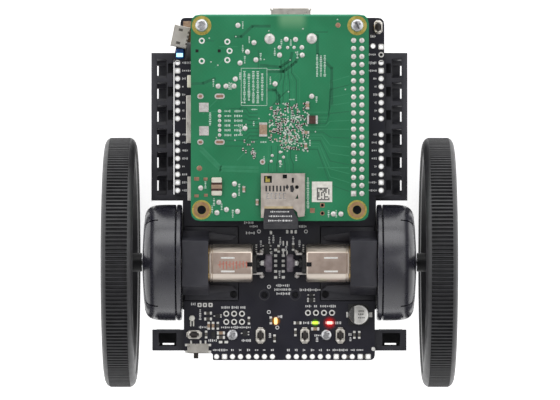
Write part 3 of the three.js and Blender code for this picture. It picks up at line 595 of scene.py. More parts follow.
def wheel(side):
    """Rim, stepped hub and grooved spokes."""
    x0, x1 = WHEEL_X
    shape = Shape()
    rim = [(33.3, x0 + 1.2), (33.5, x0 + 0.8), (35.7, x0 + 0.5), (35.95, x0 + 0.8), (35.95, x1 - 0.8),
           (35.7, x1 - 0.5), (33.6, x1 - 0.8), (33.3, x1 - 1.2), (33.3, 52.4), (33.0, 51.8), (33.0, 48.8),
           (33.3, 48.2)]
    shape.turned(rim, (0, 0), "x", 160, closed=True)
    hub = [(1.55, 44.2), (2.85, 44.1), (3, 44.3), (3, 48), (4.3, 49.2), (4.5, 49.6), (4.5, 53.8),
           (4.3, 54.2), (3.0, 54.2), (2.8, 53.2), (1.55, 53.2)]
    shape.turned(hub, (0, 0), "x", 48, closed=True)
    for k in range(SPOKES):
        a = math.radians(90 + 360 // SPOKES * k)
        ray, across = Vector((0, math.cos(a), math.sin(a))), Vector((0, -math.sin(a), math.cos(a)))
        rows = []
        for reach, half in SPOKE_SECTIONS:
            section = [(-half, 49.25), (-half + 0.3, 49), (half - 0.3, 49), (half, 49.25), (half, 51.3),
                       (half - 0.3, 51.6), (0.9, 51.6), (0.7, 50.9), (-0.7, 50.9), (-0.9, 51.6),
                       (-half + 0.3, 51.6), (-half, 51.3)]
            rows.append([ray * reach + across * c + Vector((x, 0, 0)) for c, x in section])
        count = len(rows[0])
        faces = [list(range(count)), list(range((len(rows) - 1) * count, len(rows) * count))]
        for r in range(len(rows) - 1):
            faces += [[r * count + i, r * count + (i + 1) % count, (r + 1) * count + (i + 1) % count,
                       (r + 1) * count + i] for i in range(count)]
        shape.add([p for row in rows for p in row], faces)
    return shape.mirrored(side)


for name, side in SIDES.items():
    body = f"{name}_wheel_set"
    piece(f"{name}_tyre_ribbed", tyre(side), RUBBER, body, [f"{name}_tyre"], smooth=32)
    piece(f"{name}_spoked_wheel", wheel(side), WHEEL, body, [f"{name}_wheel"])
    axle = Shape()
    axle.turned([(1e-4, 31.5), (1.3, 31.5), (1.5, 31.8), (1.5, 52.7), (1.2, 53), (1e-4, 53)], (0, 0), "x", 32)
    piece(f"{name}_steel_axle", axle.mirrored(side), STEEL, body, [f"{name}_axle"])
    finish_node(f"{name}_output_gear", NYLON, 0.08)
    finish_node(f"{name}_pinion", NYLON, 0.06)
    finish_node(f"{name}_bearing_inner", STEEL, 0.15)
    finish_node(f"{name}_bearing_outer", STEEL, 0.15)


# ---- gear drums ----

SEAM = DRUM[0].x
DRUM_END = DRUM[1].x
SNAP_ANGLES = (48, -48, 132, -132)


def drum_cover(side):
    """The domed half of a gear drum, a shell open towards the chassis."""
    wall = 1.2
    body = [(0.2, 0), (0, 0.2), (0, 2.6), (0.03, 4.1), (0.1, 5.3), (0.22, 6.5), (0.45, 7.5), (0.85, 8.3),
            (1.45, 9), (2.2, 9.5), (3.2, 9.85)]
    outside = [(DRUM_R - fall, SEAM + along) for fall, along in body]
    outside += [(12, DRUM_END - 0.45), (8, DRUM_END - 0.2), (5, DRUM_END - 0.02), (2.2, DRUM_END),
                (1.9, DRUM_END - 0.3)]
    inside = [(1.9, DRUM_END - 0.7), (DRUM_R - 4, DRUM_END - 2.0), (DRUM_R - 2, DRUM_END - 3.6),
              (DRUM_R - wall, DRUM_END - 5), (DRUM_R - wall, SEAM)]
    shape = Shape()
    shape.turned(outside + inside, (0, DRUM_Z), "x", 128, closed=True)
    return shape.mirrored(side)


def snap_cut(side, angle):
    """The narrow slot round the shoulder that lets a snap tongue flex."""
    turn = Matrix.Rotation(math.radians(angle), 3, "X")
    shape = Shape()
    shape.block((DRUM_END - 5.2, DRUM_END + 1), (-0.28, 0.28), (DRUM_R - 2.6, DRUM_R + 2))
    for p in shape.points:
        p.xyz = turn @ p + Vector((0, 0, DRUM_Z))
    return shape.mirrored(side)


for name, side in SIDES.items():
    cover = piece(f"{name}_gear_drum", drum_cover(side), GLOSS,
                  replaces=[f"{name}_gearbox_cover"], smooth=30)
    for angle in SNAP_ANGLES:
        carve(cover, snap_cut(side, angle))
    base = Shape()
    x0, x1 = span("right_gearbox_base")[0].x, span("right_gearbox_base")[1].x
    profile = [(4.2, x0), (DRUM_R - 0.3, x0), (DRUM_R, x0 + 0.3), (DRUM_R, x1 - 0.15), (DRUM_R - 0.15, x1),
               (4.2, x1)]
    base.turned(profile, (0, DRUM_Z), "x", 128, closed=True)
    for p in base.points:
        if math.hypot(p.y, p.z - DRUM_Z) < 5:
            p.z -= DRUM_Z
    flange = piece(f"{name}_drum_flange", base.mirrored(side), GLOSS,
                   replaces=[f"{name}_gearbox_base"])
    hole = Shape()
    hole.turned([(1e-4, x0 - 1), (2.2, x0 - 1), (2.2, x1 + 1), (1e-4, x1 + 1)], (0, MOTOR_Z), "x", 24)
    carve(flange, hole.mirrored(side))


# ---- motors ----

def flattened(radius, flat, scale=1.0):
    """The can's section: round with a flat front and back, as (y, z) about the motor's axis."""
    half = math.asin(flat / radius)
    loop = []
    for start in (-half, math.pi - half):
        for k in range(17):
            a = start + 2 * half * k / 16
            loop.append((radius * math.cos(a) * scale, MOTOR_Z + radius * math.sin(a) * scale))
    return loop


CAN = span("right_motor_can")
CAN_HALF = (CAN[1].z - CAN[0].z) / 2
CAN_R = (CAN[1].y - CAN[0].y) / 2


def motor_can(name, side):
    """The plated shell with its pressed groove, notch and flat front, the flat in painted shade."""
    stations = [(CAN[0].x, 0.9), (CAN[0].x + 0.12, 0.96), (CAN[0].x + 0.5, 1), (CAN[1].x - 1.1, 1),
                (CAN[1].x - 0.9, 0.965), (CAN[1].x - 0.55, 0.965), (CAN[1].x - 0.4, 1), (CAN[1].x, 0.99)]
    shape = Shape()
    shape.along_x([(x, flattened(CAN_R, CAN_HALF, s)) for x, s in stations])
    can = piece(f"{name}_motor_shell", shape.mirrored(side), [NICKEL, CAN_FLAT_SHADE],
                replaces=[f"{name}_motor_can"], smooth=40)
    notch = Shape()
    notch.block((CAN[0].x - 1, CAN[0].x + 1.7), (-1.05, 0.35), (CAN[1].z - 0.5, CAN[1].z + 1), 0.1)
    carve(can, notch.mirrored(side))
    # faces of the flat front take the darker copy of the plating: painted shade
    for face in can.data.polygons:
        if face.normal.dot(OUT) > 0.995:
            face.material_index = 1


def motor_end_cap(name, side):
    cap = Shape()
    stations = [(CAN[0].x - 1.4, 0.5), (CAN[0].x - 1.2, 0.55), (CAN[0].x + 0.2, 0.56)]
    cap.along_x([(x, flattened(CAN_R, CAN_HALF, s)) for x, s in stations])
    cap.turned([(1e-4, 6.2), (1.3, 6.2), (1.5, 6.4), (1.5, 7.4), (1e-4, 7.4)], (0, MOTOR_Z), "x", 24)
    # a near-black block at the bottom of the can's notch: painted shade in the notch
    cap.block((CAN[0].x + 0.05, CAN[0].x + 1.65), (-1.0, 0.3), (CAN[1].z - 0.48, CAN[1].z - 0.3), 0.05, 1)
    piece(f"{name}_motor_end_cap", cap.mirrored(side), [SOCKET, SHADE_FILL])


def motor_tabs(name, side):
    """Two tabs, each bent down to a solder joint on the control board."""
    tabs = Shape()
    for y in TAB_ROWS:
        tabs.block((5.2, 8.6), (y * 0.8 - 0.35, y * 0.8 + 0.35), (MOTOR_Z - 0.3, MOTOR_Z), 0.08)
        tabs.block((5.3, 5.6), (y - 0.45, y + 0.45), (FACE + 0.05, MOTOR_Z), 0.08)
        dome(tabs, 5.6, y, 0.85, 0.9, FACE + 0.02)
    piece(f"{name}_motor_tabs", tabs.mirrored(side), SOLDER)


def motor_dashes(name, side):
    """Two dents pressed in the flat; the dents are real, their pale bright tint is painted highlight."""
    dashes = Shape()
    for y in DASH_ROWS:
        dashes.block((14.1, 18.5), (y - 0.3, y + 0.3), (CAN[1].z - 0.2, CAN[1].z + 0.12), 0.14)
    # pale tin on the dents: painted highlight
    piece(f"{name}_motor_dashes", dashes.mirrored(side), PADS)


def motor_stamp(name, side):
    """A faint red row of generic strokes."""
    stamp = Shape()
    ink = (CAN[1].z - 0.01, CAN[1].z + 0.015)
    for k in range(9):
        x = 10.2 + k * 1.05
        high = random.choice((-1.9, -1.4))
        stamp.block((x, x + 0.28), (high, 0.7), ink)
        stamp.block((x, x + 0.8), (-0.3 * (k % 3), 0.25 - 0.3 * (k % 3)), ink)
    piece(f"{name}_motor_stamp", stamp.mirrored(side), STAMP)


def encoder(name, side):
    """The magnet disc and the motor's tail shaft, which turn together."""
    low = span("right_encoder_disc")[0].x
    edge, thick, boss = 2.85, 2.1, 2.6
    disc = Shape()
    disc.turned([(1e-4, low + 0.2), (0.9, low + 0.2), (1.0, low), (edge - 0.3, low), (edge, low + 0.3),
                 (edge, low + thick - 0.3), (edge - 0.3, low + thick), (1.3, low + thick),
                 (1.2, low + boss), (1e-4, low + boss)], (0, MOTOR_Z), "x", 48)
    body = f"{name}_encoder"
    piece(f"{name}_magnet_disc", disc.mirrored(side), DISC, body, [f"{name}_encoder_disc"])
    tail = Shape()
    tail.turned([(1e-4, 4.3), (0.5, 4.3), (0.5, 8.8), (1e-4, 8.8)], (0, MOTOR_Z), "x", 20)
    tail.turned([(0.5, 4.7), (0.8, 4.9), (0.85, 5.7), (0.5, 6.1)], (0, MOTOR_Z), "x", 20)
    piece(f"{name}_tail_shaft", tail.mirrored(side), PADS, body)


def gearmotor_front(name, side):
    finish_node(f"{name}_motor_gearbox", BRASS, 0.2)
    finish_node(f"{name}_motor_clip", PLASTIC, 0.3)
    plate = Shape()
    plate.along_x([(x, flattened(CAN_R, CAN_HALF, 0.94)) for x in (22.15, 22.38)])
    piece(f"{name}_gearbox_plate", plate.mirrored(side), BRASS)


TAB_ROWS = (-4.1, 3.6)
DASH_ROWS = (-2.55, 1.7)
for name, side in SIDES.items():
    motor_can(name, side)
    motor_end_cap(name, side)
    motor_tabs(name, side)
    motor_dashes(name, side)
    if name == "left":
        motor_stamp(name, side)
    encoder(name, side)
    gearmotor_front(name, side)


# ---- chassis, battery ----

finish_node("chassis", PLASTIC, 0.22)
finish_node("battery_cover", PLASTIC, 0.25)
lip = Shape()
lip.block((33.15, 34.0), (19.8, 66.9), (8.4, 9.15), 0.12)
piece("right_rail_lip", lip, PLASTIC)
for k in range(1, 7):
    finish_node(f"battery_cell_{k}", metal(f"cell_wrap_{k}", (0.03, 0.12, 0.3), (0.06, 0.2, 0.42),
                                           (0.25, 0.35), patch=4, grain=0.6), 0.3)
for name in SIDES:
    finish_node(f"{name}_battery_contacts", STEEL, 0.06)


# ---- control board ----

PITCH = 2.54
EDGE_X = 32.4
ROW_TOP = 63.7
FOOT_Y = -29.85
FOOT_X = -20.0
SQUARES = (1, 15)

PLATED = []                       # x, y, pad radius, hole radius, square
for k in list(range(8)) + list(range(9, 17)):
    for s in (-1, 1):
        PLATED.append((s * EDGE_X, ROW_TOP - PITCH * k, 0.88, 0.62, k in SQUARES))
PLATED += [(EDGE_X, ROW_TOP + PITCH, 0.88, 0.5, False), (EDGE_X, ROW_TOP + 2 * PITCH, 0.88, 0.62, True),
           (29.8, 69.0, 0.85, 0.6, False)]
for k in list(range(8)) + list(range(9, 20)):
    PLATED.append((FOOT_X + PITCH * k, FOOT_Y, 0.85, 0.6, k in (1, 15, 18, 19)))
for x in (9.1, 11.65, 14.2, 16.75, -16.9, -14.4, -11.9):
    PLATED.append((x, -15.9 if x > 0 else -16.2, 0.95, 0.55, False))
for x in (-16.9, -14.4, -11.9):
    PLATED.append((x, -18.8, 0.95, 0.55, False))
BOSSES = [(-4.75, -10.2), (5.05, -10.2)]

def control_plate():
    """The board with its holes drilled."""
    control = cleaned("control_board_plate", "control_board", BLACK_MASK)
    holes = Shape()
    through = (BOARD[0].z - 1, FACE + 1)
    for x, y, _, hole, _ in PLATED:
        rod(holes, x, y, hole + 0.04, through, 16)
    for x, y in BOSSES:
        rod(holes, x, y, 1.05, through, 24)
    carve(control, holes)


def control_pads():
    """Plated rings, and a thin grey ring round each boss hole."""
    rings = Shape()
    barrel = (BOARD[0].z - 0.03, FACE + 0.04)
    for x, y, outer, hole, square in PLATED:
        ring_pad(rings, x, y, outer, hole, barrel, square)
    piece("control_board_pads", rings, PADS)
    bosses = Shape()
    for x, y in BOSSES:
        ring_pad(bosses, x, y, 1.75, 1.5, (FACE - 0.1, FACE + 0.04))
    piece("control_board_boss_rings", bosses, CARD)


SILK = on_board(0.005, 0.03)


def mark_row(shape, x, y, width, height=0.75, upright=False, z=SILK):
    """A run of short generic ticks, the length of a printed label."""
    at = 0.0
    while at < width:
        step = random.choice((0.34, 0.5, 0.62))
        tall = height * random.choice((0.55, 0.8, 1.0))
        low = at - width / 2
        x0, x1, y0, y1 = low, low + step * 0.62, -tall / 2, tall / 2
        if upright:
            x0, x1, y0, y1 = y0, y1, x0, x1
        shape.block((x + x0, x + x1), (y + y0, y + y1), z)
        at += step


def control_marks():
    """Generic ticks where the board has print."""
    prints = Shape()
    for k in list(range(8)) + list(range(9, 17)):
        wide = 2.6 if k in (1, 15, 16, 0) else random.choice((0.6, 1.0, 1.5))
        mark_row(prints, -EDGE_X + 1.5 + wide / 2, ROW_TOP - PITCH * k, wide)
        mark_row(prints, EDGE_X - 1.5 - wide / 2, ROW_TOP - PITCH * k, wide)
    for k in list(range(8)) + list(range(9, 19)):
        mark_row(prints, FOOT_X + PITCH * k, FOOT_Y + 2.1, 2.3 if k in (0, 1, 15, 16, 18) else 0.9)
    for x, y, wide in ((-17.2, -14.2, 2.6), (-14.2, -14.2, 2), (-11.6, -14.2, 1.6), (-17.2, -20.55, 2.7),
                       (-13.9, -20.55, 3), (-10.6, -20.55, 2.8), (-21.4, -24.7, 2.4), (-10.7, -24.7, 2.6),
                       (-27.3, -13.1, 1.6), (-24.2, -20.5, 2.8), (9.2, -13.8, 1.8), (11.6, -13.8, 1.1),
                       (14.2, -13.8, 2.4), (16.9, -13.8, 2.2), (8.4, -19.1, 1.6), (18.6, -19.1, 1.6),
                       (12.3, -23.1, 2.2), (22.5, -22.8, 1.0), (1.1, -7.2, 4.3), (1.0, -8.5, 5.2),
                       (1.1, -9.8, 4), (9.8, -8.6, 6.6), (-9.9, 12.8, 2.6), (-8.2, 11.6, 2.5),
                       (-9.3, 9.5, 2.7), (7.5, 11.6, 2.5), (0.1, -17.1, 1.2), (29.3, 66.3, 2),
                       (29.3, 63.5, 2), (29.9, 72.1, 1.8)):
        mark_row(prints, x, y, wide, 0.85)
    for x, y, tall in ((-25.2, -16.6, 3), (-3.0, -23, 1.6), (12, -24.6, 1), (22.6, -24.4, 1)):
        mark_row(prints, x, y, tall, 0.8, upright=True)
    for x, y, tall in ((0.3, 7.0, 2.6), (4.4, 7.2, 2.8), (-3.2, 7.0, 2.4), (6.4, 6.2, 2.2),
                       (-1.9, 7.4, 2.2), (2.2, 4.6, 1.6), (-2.6, 2.9, 1.4), (3.0, 0.8, 2.2),
                       (0.05, -3.6, 2.4), (-5.9, 6.0, 1.8)):
        mark_row(prints, x, y, tall, 0.7, upright=True)
    for x, y in ((-3.35, -15.65), (-0.65, -20.6), (-6.5, 10), (8.45, 10), (-3.3, -7.6)):
        ring_pad(prints, x, y, 0.62, 0.36, SILK)
    piece("control_board_marks", prints, MARKS)


Z = FACE + 0.06


def passives(parts):
    """Resistors and capacitors."""
    for x, y in ((-22.7, -16.0), (-22.7, -17.85), (5.8, -19.1)):
        chip(parts, x, y, 2.5, 0.95, 0.5, Z)
    for x, y in ((-18.6, -22.3), (11.4, -21.0)):
        chip(parts, x, y, 2.6, 1.0, 0.6, Z, body=3)
    chip(parts, -18.6, -23.7, 2.6, 1.0, 0.6, Z)
    chip(parts, -17.8, -25.2, 3, 0.8, 0.4, Z, body=2, cap=0.4)
    for x, y in ((-22.5, -20), (-21.1, -20)):
        chip(parts, x, y, 2.5, 0.85, 0.5, Z, upright=True, body=3)
    for x, y in ((-9.7, -18.4), (-23.3, -22.8), (-1.55, -24.0), (5.1, -22.1), (23.85, -22.9), (25.4, -22.9),
                 (-2.75, -18.3), (-0.25, 4.5), (4.4, 5.1), (-19.6, -20)):
        chip(parts, x, y, 2.5, 0.8, 0.45, Z, upright=True)


def leaded(shape, x, y, wide, tall, left, right, height=0.75):
    """A small chip with leads on its left and right, each a number of legs."""
    shape.pad(x, y, wide / 2, tall / 2, (FACE + 0.1, FACE + height), 0.1, 2)
    for side, legs in ((-1, left), (1, right)):
        for k in range(legs):
            at = y + (k - (legs - 1) / 2) * (tall / max(legs, 1)) * 0.9
            reach = sorted((x + side * wide / 2, x + side * (wide / 2 + 0.55)))
            shape.block(reach, (at - 0.2, at + 0.2), on_board(0.04, 0.25), 0.05, 1)


def leaded_chips(parts):
    """Transistors and small chips."""
    leaded(parts, -19.65, -16.9, 1.5, 1.4, 1, 2)
    leaded(parts, -21, -22.9, 1.2, 2.0, 0, 0)
    leaded(parts, -10.9, -22.4, 1.6, 1.9, 1, 2)
    leaded(parts, 10.1, -11.8, 1.4, 1.6, 3, 2)
    leaded(parts, 10.1, -10.2, 1.2, 1.0, 1, 1)
    leaded(parts, -4.0, 4.4, 1.8, 3.4, 3, 3, 0.9)
    leaded(parts, 6.3, 3.4, 1.7, 1.8, 1, 2)
    leaded(parts, -9.2, 4.6, 3.2, 3.2, 4, 4, 0.9)
    leaded(parts, 9.4, 4.6, 3.0, 3.0, 4, 4, 0.9)


def bare_lands(parts):
    """Soldered lands and what lies between the foot pads."""
    for x in (1.25, 2.45):
        for y in (6.2, 3.0):
            parts.pad(x, y, 0.22, 0.75, on_board(0.02, 0.14), 0.04, 1)
    for x in (-1.2, 1.25):
        for y in (4.1, 2.3, 0.6, -0.85, -2.7, -4.6):
            parts.pad(x, y, 0.5, 0.42, on_board(0.02, 0.2), 0.08, 1)
    for x, y in ((2.5, 9.9), (3.9, 9.9), (5.2, 9.9), (-2.7, 9.6)):
        parts.pad(x, y, 0.38, 0.55, on_board(0.02, 0.2), 0.08, 1)
    for x in (-25.4, -23.7, -21.9):
        ring_pad(parts, x, -13.4, 0.66, 0.3, on_board(0.01, 0.08), square=True, colour=1)
    dome(parts, 29.9, -27.4, 0.65, 0.4, FACE, 1)
    for x in (21.8, 27.0):
        parts.pad(x, FOOT_Y, 0.3, 0.5, on_board(0.02, 0.4), 0.1, 0)
    for k in range(6):                # parts under the computer board
        chip(parts, -24 + 4 * k, 40 + 2.5 * (k % 3), 2.0, 1.0, 0.5, Z)


def control_parts():
    """Everything small that is soldered on."""
    parts = Shape()                   # 0 ceramic, 1 soldered end, 2 chip, 3 tan
    passives(parts)
    leaded_chips(parts)
    bare_lands(parts)
    piece("control_board_parts", parts, [CERAMIC, PADS, CHIP, TAN])


def button_frame(shape, wide, tall, window):
    """A push-button's steel frame about the origin, with its window and two narrower feet."""
    z = on_board(0.1, 1.45)
    half, (wx, wy) = (wide / 2, tall / 2), window
    for s in (-1, 1):
        shape.block(sorted((s * half[0], s * wx)), (-half[1] * 0.72, half[1] * 0.72), z, 0.22)
        shape.block((-half[0] * 0.8, half[0] * 0.8), sorted((s * half[1] * 0.86, s * wy)), z, 0.22)
        shape.block((-half[0] * 0.55, half[0] * 0.55), sorted((s * half[1] * 0.8, s * half[1])),
                    on_board(0.04, 0.5), 0.12)
        for t in (-1, 1):
            shape.block(sorted((s * wx * 0.5, s * (wx + 0.1))), sorted((t * wy * 0.75, t * (wy + 0.1))), z,
                        0.1)


FRAMES = {"button_a": (3.1, 5.2, (0.85, 1.2)), "button_b": (3.0, 5.2, (0.85, 1.2)),
          "button_c": (3.0, 5.2, (0.85, 1.2)), "reset_button": (2.7, 4.45, (0.75, 1.15)),
          "power_button": (2.85, 5.0, (0.8, 1.25))}


def buttons():
    """A steel frame and a sunk floor for each button."""
    frames = Shape()
    sunk = Shape()
    for button, (wide, tall, window) in FRAMES.items():
        low, high = span(button)
        x, y = (low.x + high.x) / 2, (low.y + high.y) / 2
        lying = high.x - low.x > high.y - low.y
        own = Shape()
        button_frame(own, wide, tall, window)
        well = Shape()
        # the floor of the button lies clear of its key, even when the key is down
        floor_z = (FACE + 0.02, max(FACE + 0.05, low.z - 0.3))
        well.block((-window[0] - 0.1, window[0] + 0.1), (-window[1] - 0.1, window[1] + 0.1), floor_z, 0.01)
        for part, whole in ((own, frames), (well, sunk)):
            for p in part.points:
                p.xyz = (x + p.y, y - p.x, p.z) if lying else (x + p.x, y + p.y, p.z)
            whole.add(part.points, part.faces)
        finish_node(button, KEY, 0.12)
    piece("button_frames", frames, TIN, smooth=50)
    piece("button_wells", sunk, KEY)


def slide_switch():
    """The switch, its slider and all soldered feet."""
    shell = cleaned("slide_switch_shell", "slide_switch_body", TIN)
    soften(shell, 0.12)
    finish_node("slide_switch_slider", KEY, 0.08)
    feet = Shape()
    for x in (-29.55, -22.15):
        for y in (-26.15, -28.3):
            feet.pad(x, y, 0.45, 0.4, on_board(0.03, 0.35), 0.1)
    for x in (-28.1, -25.1, -23.5):
        feet.block((x - 0.28, x + 0.28), (-25.7, -24.7), on_board(0.03, 0.3), 0.08)
    for x, tall in ((22.0, 1.1), (28.9, 1.0)):
        feet.block((x - 0.7, x + 0.7), (-16.5 - tall * 0.8, -16.5 + tall * 0.8), on_board(0.03, 0.3), 0.1)
    piece("soldered_feet", feet, PADS)


def capacitor():
    """A grooved can on a square base, its dark side marked."""
    can_low, can_high = span("capacitor")
    cx, cy = (can_low.x + can_high.x) / 2, (can_low.y + can_high.y) / 2
    base = Shape()
    h, c = 3.3, 1.0
    base.prism([(cx - h, cy - h), (cx + h - c, cy - h), (cx + h, cy - h + c), (cx + h, cy + h - c),
                (cx + h - c, cy + h), (cx - h, cy + h)], on_board(0.12, 0.95))
    piece("capacitor_base", base, SOCKET)
    can = Shape()
    can.turned([(1e-4, FACE + 0.9), (3.0, FACE + 0.9), (3.12, FACE + 1.2), (2.95, FACE + 1.5),
                (3.12, FACE + 1.8), (3.12, can_high.z - 0.35), (3.0, can_high.z - 0.05), (2.85, can_high.z),
                (2.7, can_high.z - 0.08), (1e-4, can_high.z - 0.08)], (cx, cy), "z", 48)
    piece("capacitor_can", can, ALUMINIUM, replaces=["capacitor"])
    stripe = Shape()
    segment = [(cx + 3.02 * math.cos(a), cy + 3.02 * math.sin(a))
               for a in [math.radians(118.5 + 123 * k / 16) for k in range(17)]]
    stripe.prism(segment, (can_high.z - 0.3, can_high.z - 0.001))
    for y in (-0.9, 0.2, 1.2):
        mark_row(stripe, cx + 0.7, cy + y, 1.8, 0.5, z=(can_high.z - 0.09, can_high.z - 0.07))
    piece("capacitor_stripe", stripe, INK)


def lamp(name, x, y, wide, tall, material, height=0.6):
    """A surface lamp with a soldered end on each short side."""
    shape = Shape()
    shape.pad(x, y, wide / 2, tall / 2, (FACE + 0.12, FACE + height), 0.2)
    lying = wide > tall
    for s in (-1, 1):
        if lying:
            at = sorted((x + s * wide * 0.5, x + s * (wide * 0.5 + 0.45)))
            shape.block(at, (y - tall * 0.45, y + tall * 0.45), on_board(0.03, 0.3), 0.08, 1)
        else:
            at = sorted((y + s * tall * 0.5, y + s * (tall * 0.5 + 0.3)))
            shape.block((x - wide * 0.45, x + wide * 0.45), at, on_board(0.03, 0.3), 0.08, 1)
    piece(name, shape, [material, PADS])


AMBER_AT = (-1.15, -18.5)
GREEN_AT = (11.4, -19.07)
RED_AT = (16.0, -19.07)


def halo(name, x, y, radius, colour, strength):
    """The light that spills round a lamp: a clear film that glows most at its middle."""
    made, tree, bsdf = new_material(f"{name}_film", Roughness=0.6)
    where = upright_mm(tree)
    apart = tree.nodes.new("ShaderNodeVectorMath")
    apart.operation = "DISTANCE"
    apart.inputs[1].default_value = (x, y, FACE + 0.4)
    tree.links.new(where, apart.inputs[0])
    near = ramp(tree, fade(tree, apart.outputs["Value"], radius, radius * 0.15),
                [(0, (0, 0, 0)), (0.5, (0.16, 0.16, 0.16)), (1, (0.7, 0.7, 0.7))])
    socket_set(bsdf, {"Base Color": (0, 0, 0, 1), "Emission Color": (*colour, 1),
                      "Emission Strength": strength, "Specular IOR Level": 0.0})
    tree.links.new(near, bsdf.inputs["Alpha"])
    shape = Shape()
    shape.prism(circle(x, y, radius, 40), on_board(0.39, 0.41))
    piece(name, shape, made)


def lamps():
    """Three lit lamps and the light round each."""
    lamp("amber_lamp", *AMBER_AT, 1.0, 1.9, AMBER_LIGHT)
    lamp("green_lamp", *GREEN_AT, 1.9, 0.95, GREEN_LIGHT)
    lamp("red_lamp", *RED_AT, 1.9, 1.0, RED_LIGHT)
    halo("amber_halo", *AMBER_AT, 1.7, (1.0, 0.35, 0.02), 0.8)
    halo("green_halo", *GREEN_AT, 1.5, (0.3, 0.8, 0.03), 0.5)
    halo("red_halo", *RED_AT, 2.4, (1.0, 0.03, 0.03), 0.7)


def lenses():
    """A blue lamp and a clear light sensor."""
    blue = Shape()
    blue.block((-32.9, -30.3), (64.9, 68.1), on_board(0.12, 1.3), 0.3)
    piece("blue_lamp_lens", blue, BLUE_LENS)
    core = Shape()
    core.block((-32.7, -30.7), (65.5, 66.7), on_board(1.2, 1.38), 0.08)
    piece("blue_lamp_core", core, BLUE_LIGHT)
    sensor = Shape()
    rod(sensor, -27.8, -17.6, 0.95, on_board(0.1, 1.5), 24, crown=0.5)
    for x in (-28.2, -27.3):
        sensor.block((x - 0.2, x + 0.2), (-20.2, -18.3), on_board(0.1, 0.4), 0.06)
    piece("clear_sensor", sensor, LENS)


port_low, port_high = span("board_usb_port")
PORT = ((port_low.x + port_high.x) / 2, (port_low.y + port_high.y) / 2)
PORT_TURN = Matrix.Rotation(math.radians(-12), 3, "Z")


def at_port(shape):
    """Turns a shape drawn about the micro socket's middle to the socket's slanted place."""
    for p in shape.points:
        p.xyz = PORT_TURN @ p + Vector((*PORT, 0))
    return shape


def board_socket():
    """The micro socket, folded from thin sheet."""
    port = Shape()
    port.block((-2.5, 2.6), (-3.4, 3.4), on_board(2.55, 2.8), 0.1)
    port.block((-2.5, 2.6), (-3.4, 3.4), on_board(0.12, 0.4), 0.1)
    port.block((2.3, 2.6), (-3.4, 3.4), on_board(0.12, 2.8), 0.1)
    for s in (-1, 1):
        port.block((-2.5, 2.6), sorted((s * 3.4, s * 3.1)), on_board(0.12, 2.8), 0.1)
    port.block((-2.6, -2.3), (-3.6, 3.6), on_board(2.6, 2.82), 0.06)
    for y in (-2.1, 2.1):
        port.block((-1.0, 0.3), (y - 0.4, y + 0.4), on_board(2.78, 2.83), 0.02, 1)
    for y in (-1.9, -0.8, 0.5, 1.8):
        port.block((2.0, 2.6), (y - 0.4, y + 0.3), on_board(2.79, 2.83), 0.02, 1)
    port.block((-1.5, 2.4), (-1.7, 1.7), on_board(1.1, 1.6), 0.1, 2)
    piece("board_socket_shell", at_port(port), [TIN, CERAMIC, SOCKET],
          replaces=["board_usb_port"])


def corner_parts():
    """The parts beside the micro socket."""
    corner = Shape()
    corner.block((-30.6, -28.0), (74.5, 76.9), on_board(0.03, 0.35), 0.1)
    corner.block((-29.6, -28.0), (70.2, 73.9), on_board(0.03, 0.9), 0.1)
    corner.block((-30.0, -28.2), (64.4, 69.4), on_board(0.1, 1.3), 0.15, 1)
    piece("board_corner_parts", corner, [TAN, CHIP])


control_plate()
control_pads()
control_marks()
control_parts()
buttons()
slide_switch()
capacitor()
lamps()
lenses()
board_socket()
corner_parts()


# ---- screws ----

def pan_head(name, node, radius, height):
    """A screw with a rounded head, a cross recess and a ridged shank."""
    low, high = span(node)
    x, y, under = (low.x + high.x) / 2, (low.y + high.y) / 2, high.z - height
    shape = Shape()
    head = [(1e-4, under), (radius * 0.96, under), (radius, under + height * 0.25),
            (radius * 0.97, under + height * 0.6), (radius * 0.86, under + height * 0.85),
            (radius * 0.6, high.z - 0.02), (1e-4, high.z)]
    shape.turned(head, (x, y), "z", 40)
    shank = [(1e-4, low.z)]
    at = low.z + 0.3
    while at < under:
        shank += [(1.0, at), (1.25, at + 0.25)]
        at += 0.5
    shape.turned(shank + [(1.0, under), (1e-4, under)], (x, y), "z", 20)
    obj = piece(name, shape, STEEL, replaces=[node])
    for turn in (0.5, 0.5 + math.pi / 2):
        bar = Shape()
        bar.block((x - radius * 0.62, x + radius * 0.62), (y - radius * 0.16, y + radius * 0.16),
                  (high.z - height * 0.55, high.z + 1), turn=turn)
        carve(obj, bar)


for name in SIDES:
    pan_head(f"{name}_board_screw_head", f"{name}_board_screw", 1.8, 1.3)
    pan_head(f"{name}_computer_screw_head", f"{name}_computer_screw", 2.1, 1.7)
    finish_node(f"{name}_standoff", BRASS, 0.15)


# ---- computer board ----

HOLE_X = 24.5
HOLE_Y = (16.9, 75.0)


def computer_plate():
    """The board with two drilled holes and pale edges."""
    green = cleaned("computer_board_plate", "computer_board", [GREEN_MASK, EDGE])
    drills = Shape()
    for x, y in ((13.55, 18.35), (13.55, 15.8)):
        rod(drills, x, y, 0.45, (COMPUTER[0].z - 1, TOP + 1), 16)
    carve(green, drills)
    for face in green.data.polygons:
        if abs(face.normal.dot(OUT)) < 0.5:
            face.material_index = 1


def hole_lands():
    """Gold rings round the screw holes."""
    lands = Shape()
    for x in (-HOLE_X, HOLE_X):
        for y in HOLE_Y:
            ring_pad(lands, x, y, 3.08, 1.42, (COMPUTER[0].z - 0.03, TOP + 0.03))
            if y < 20:
                ring_pad(lands, x, y, 2.55, 1.5, (TOP + 0.03, TOP + 0.05), colour=1)
    piece("computer_board_lands", lands, [GOLD, LAND])


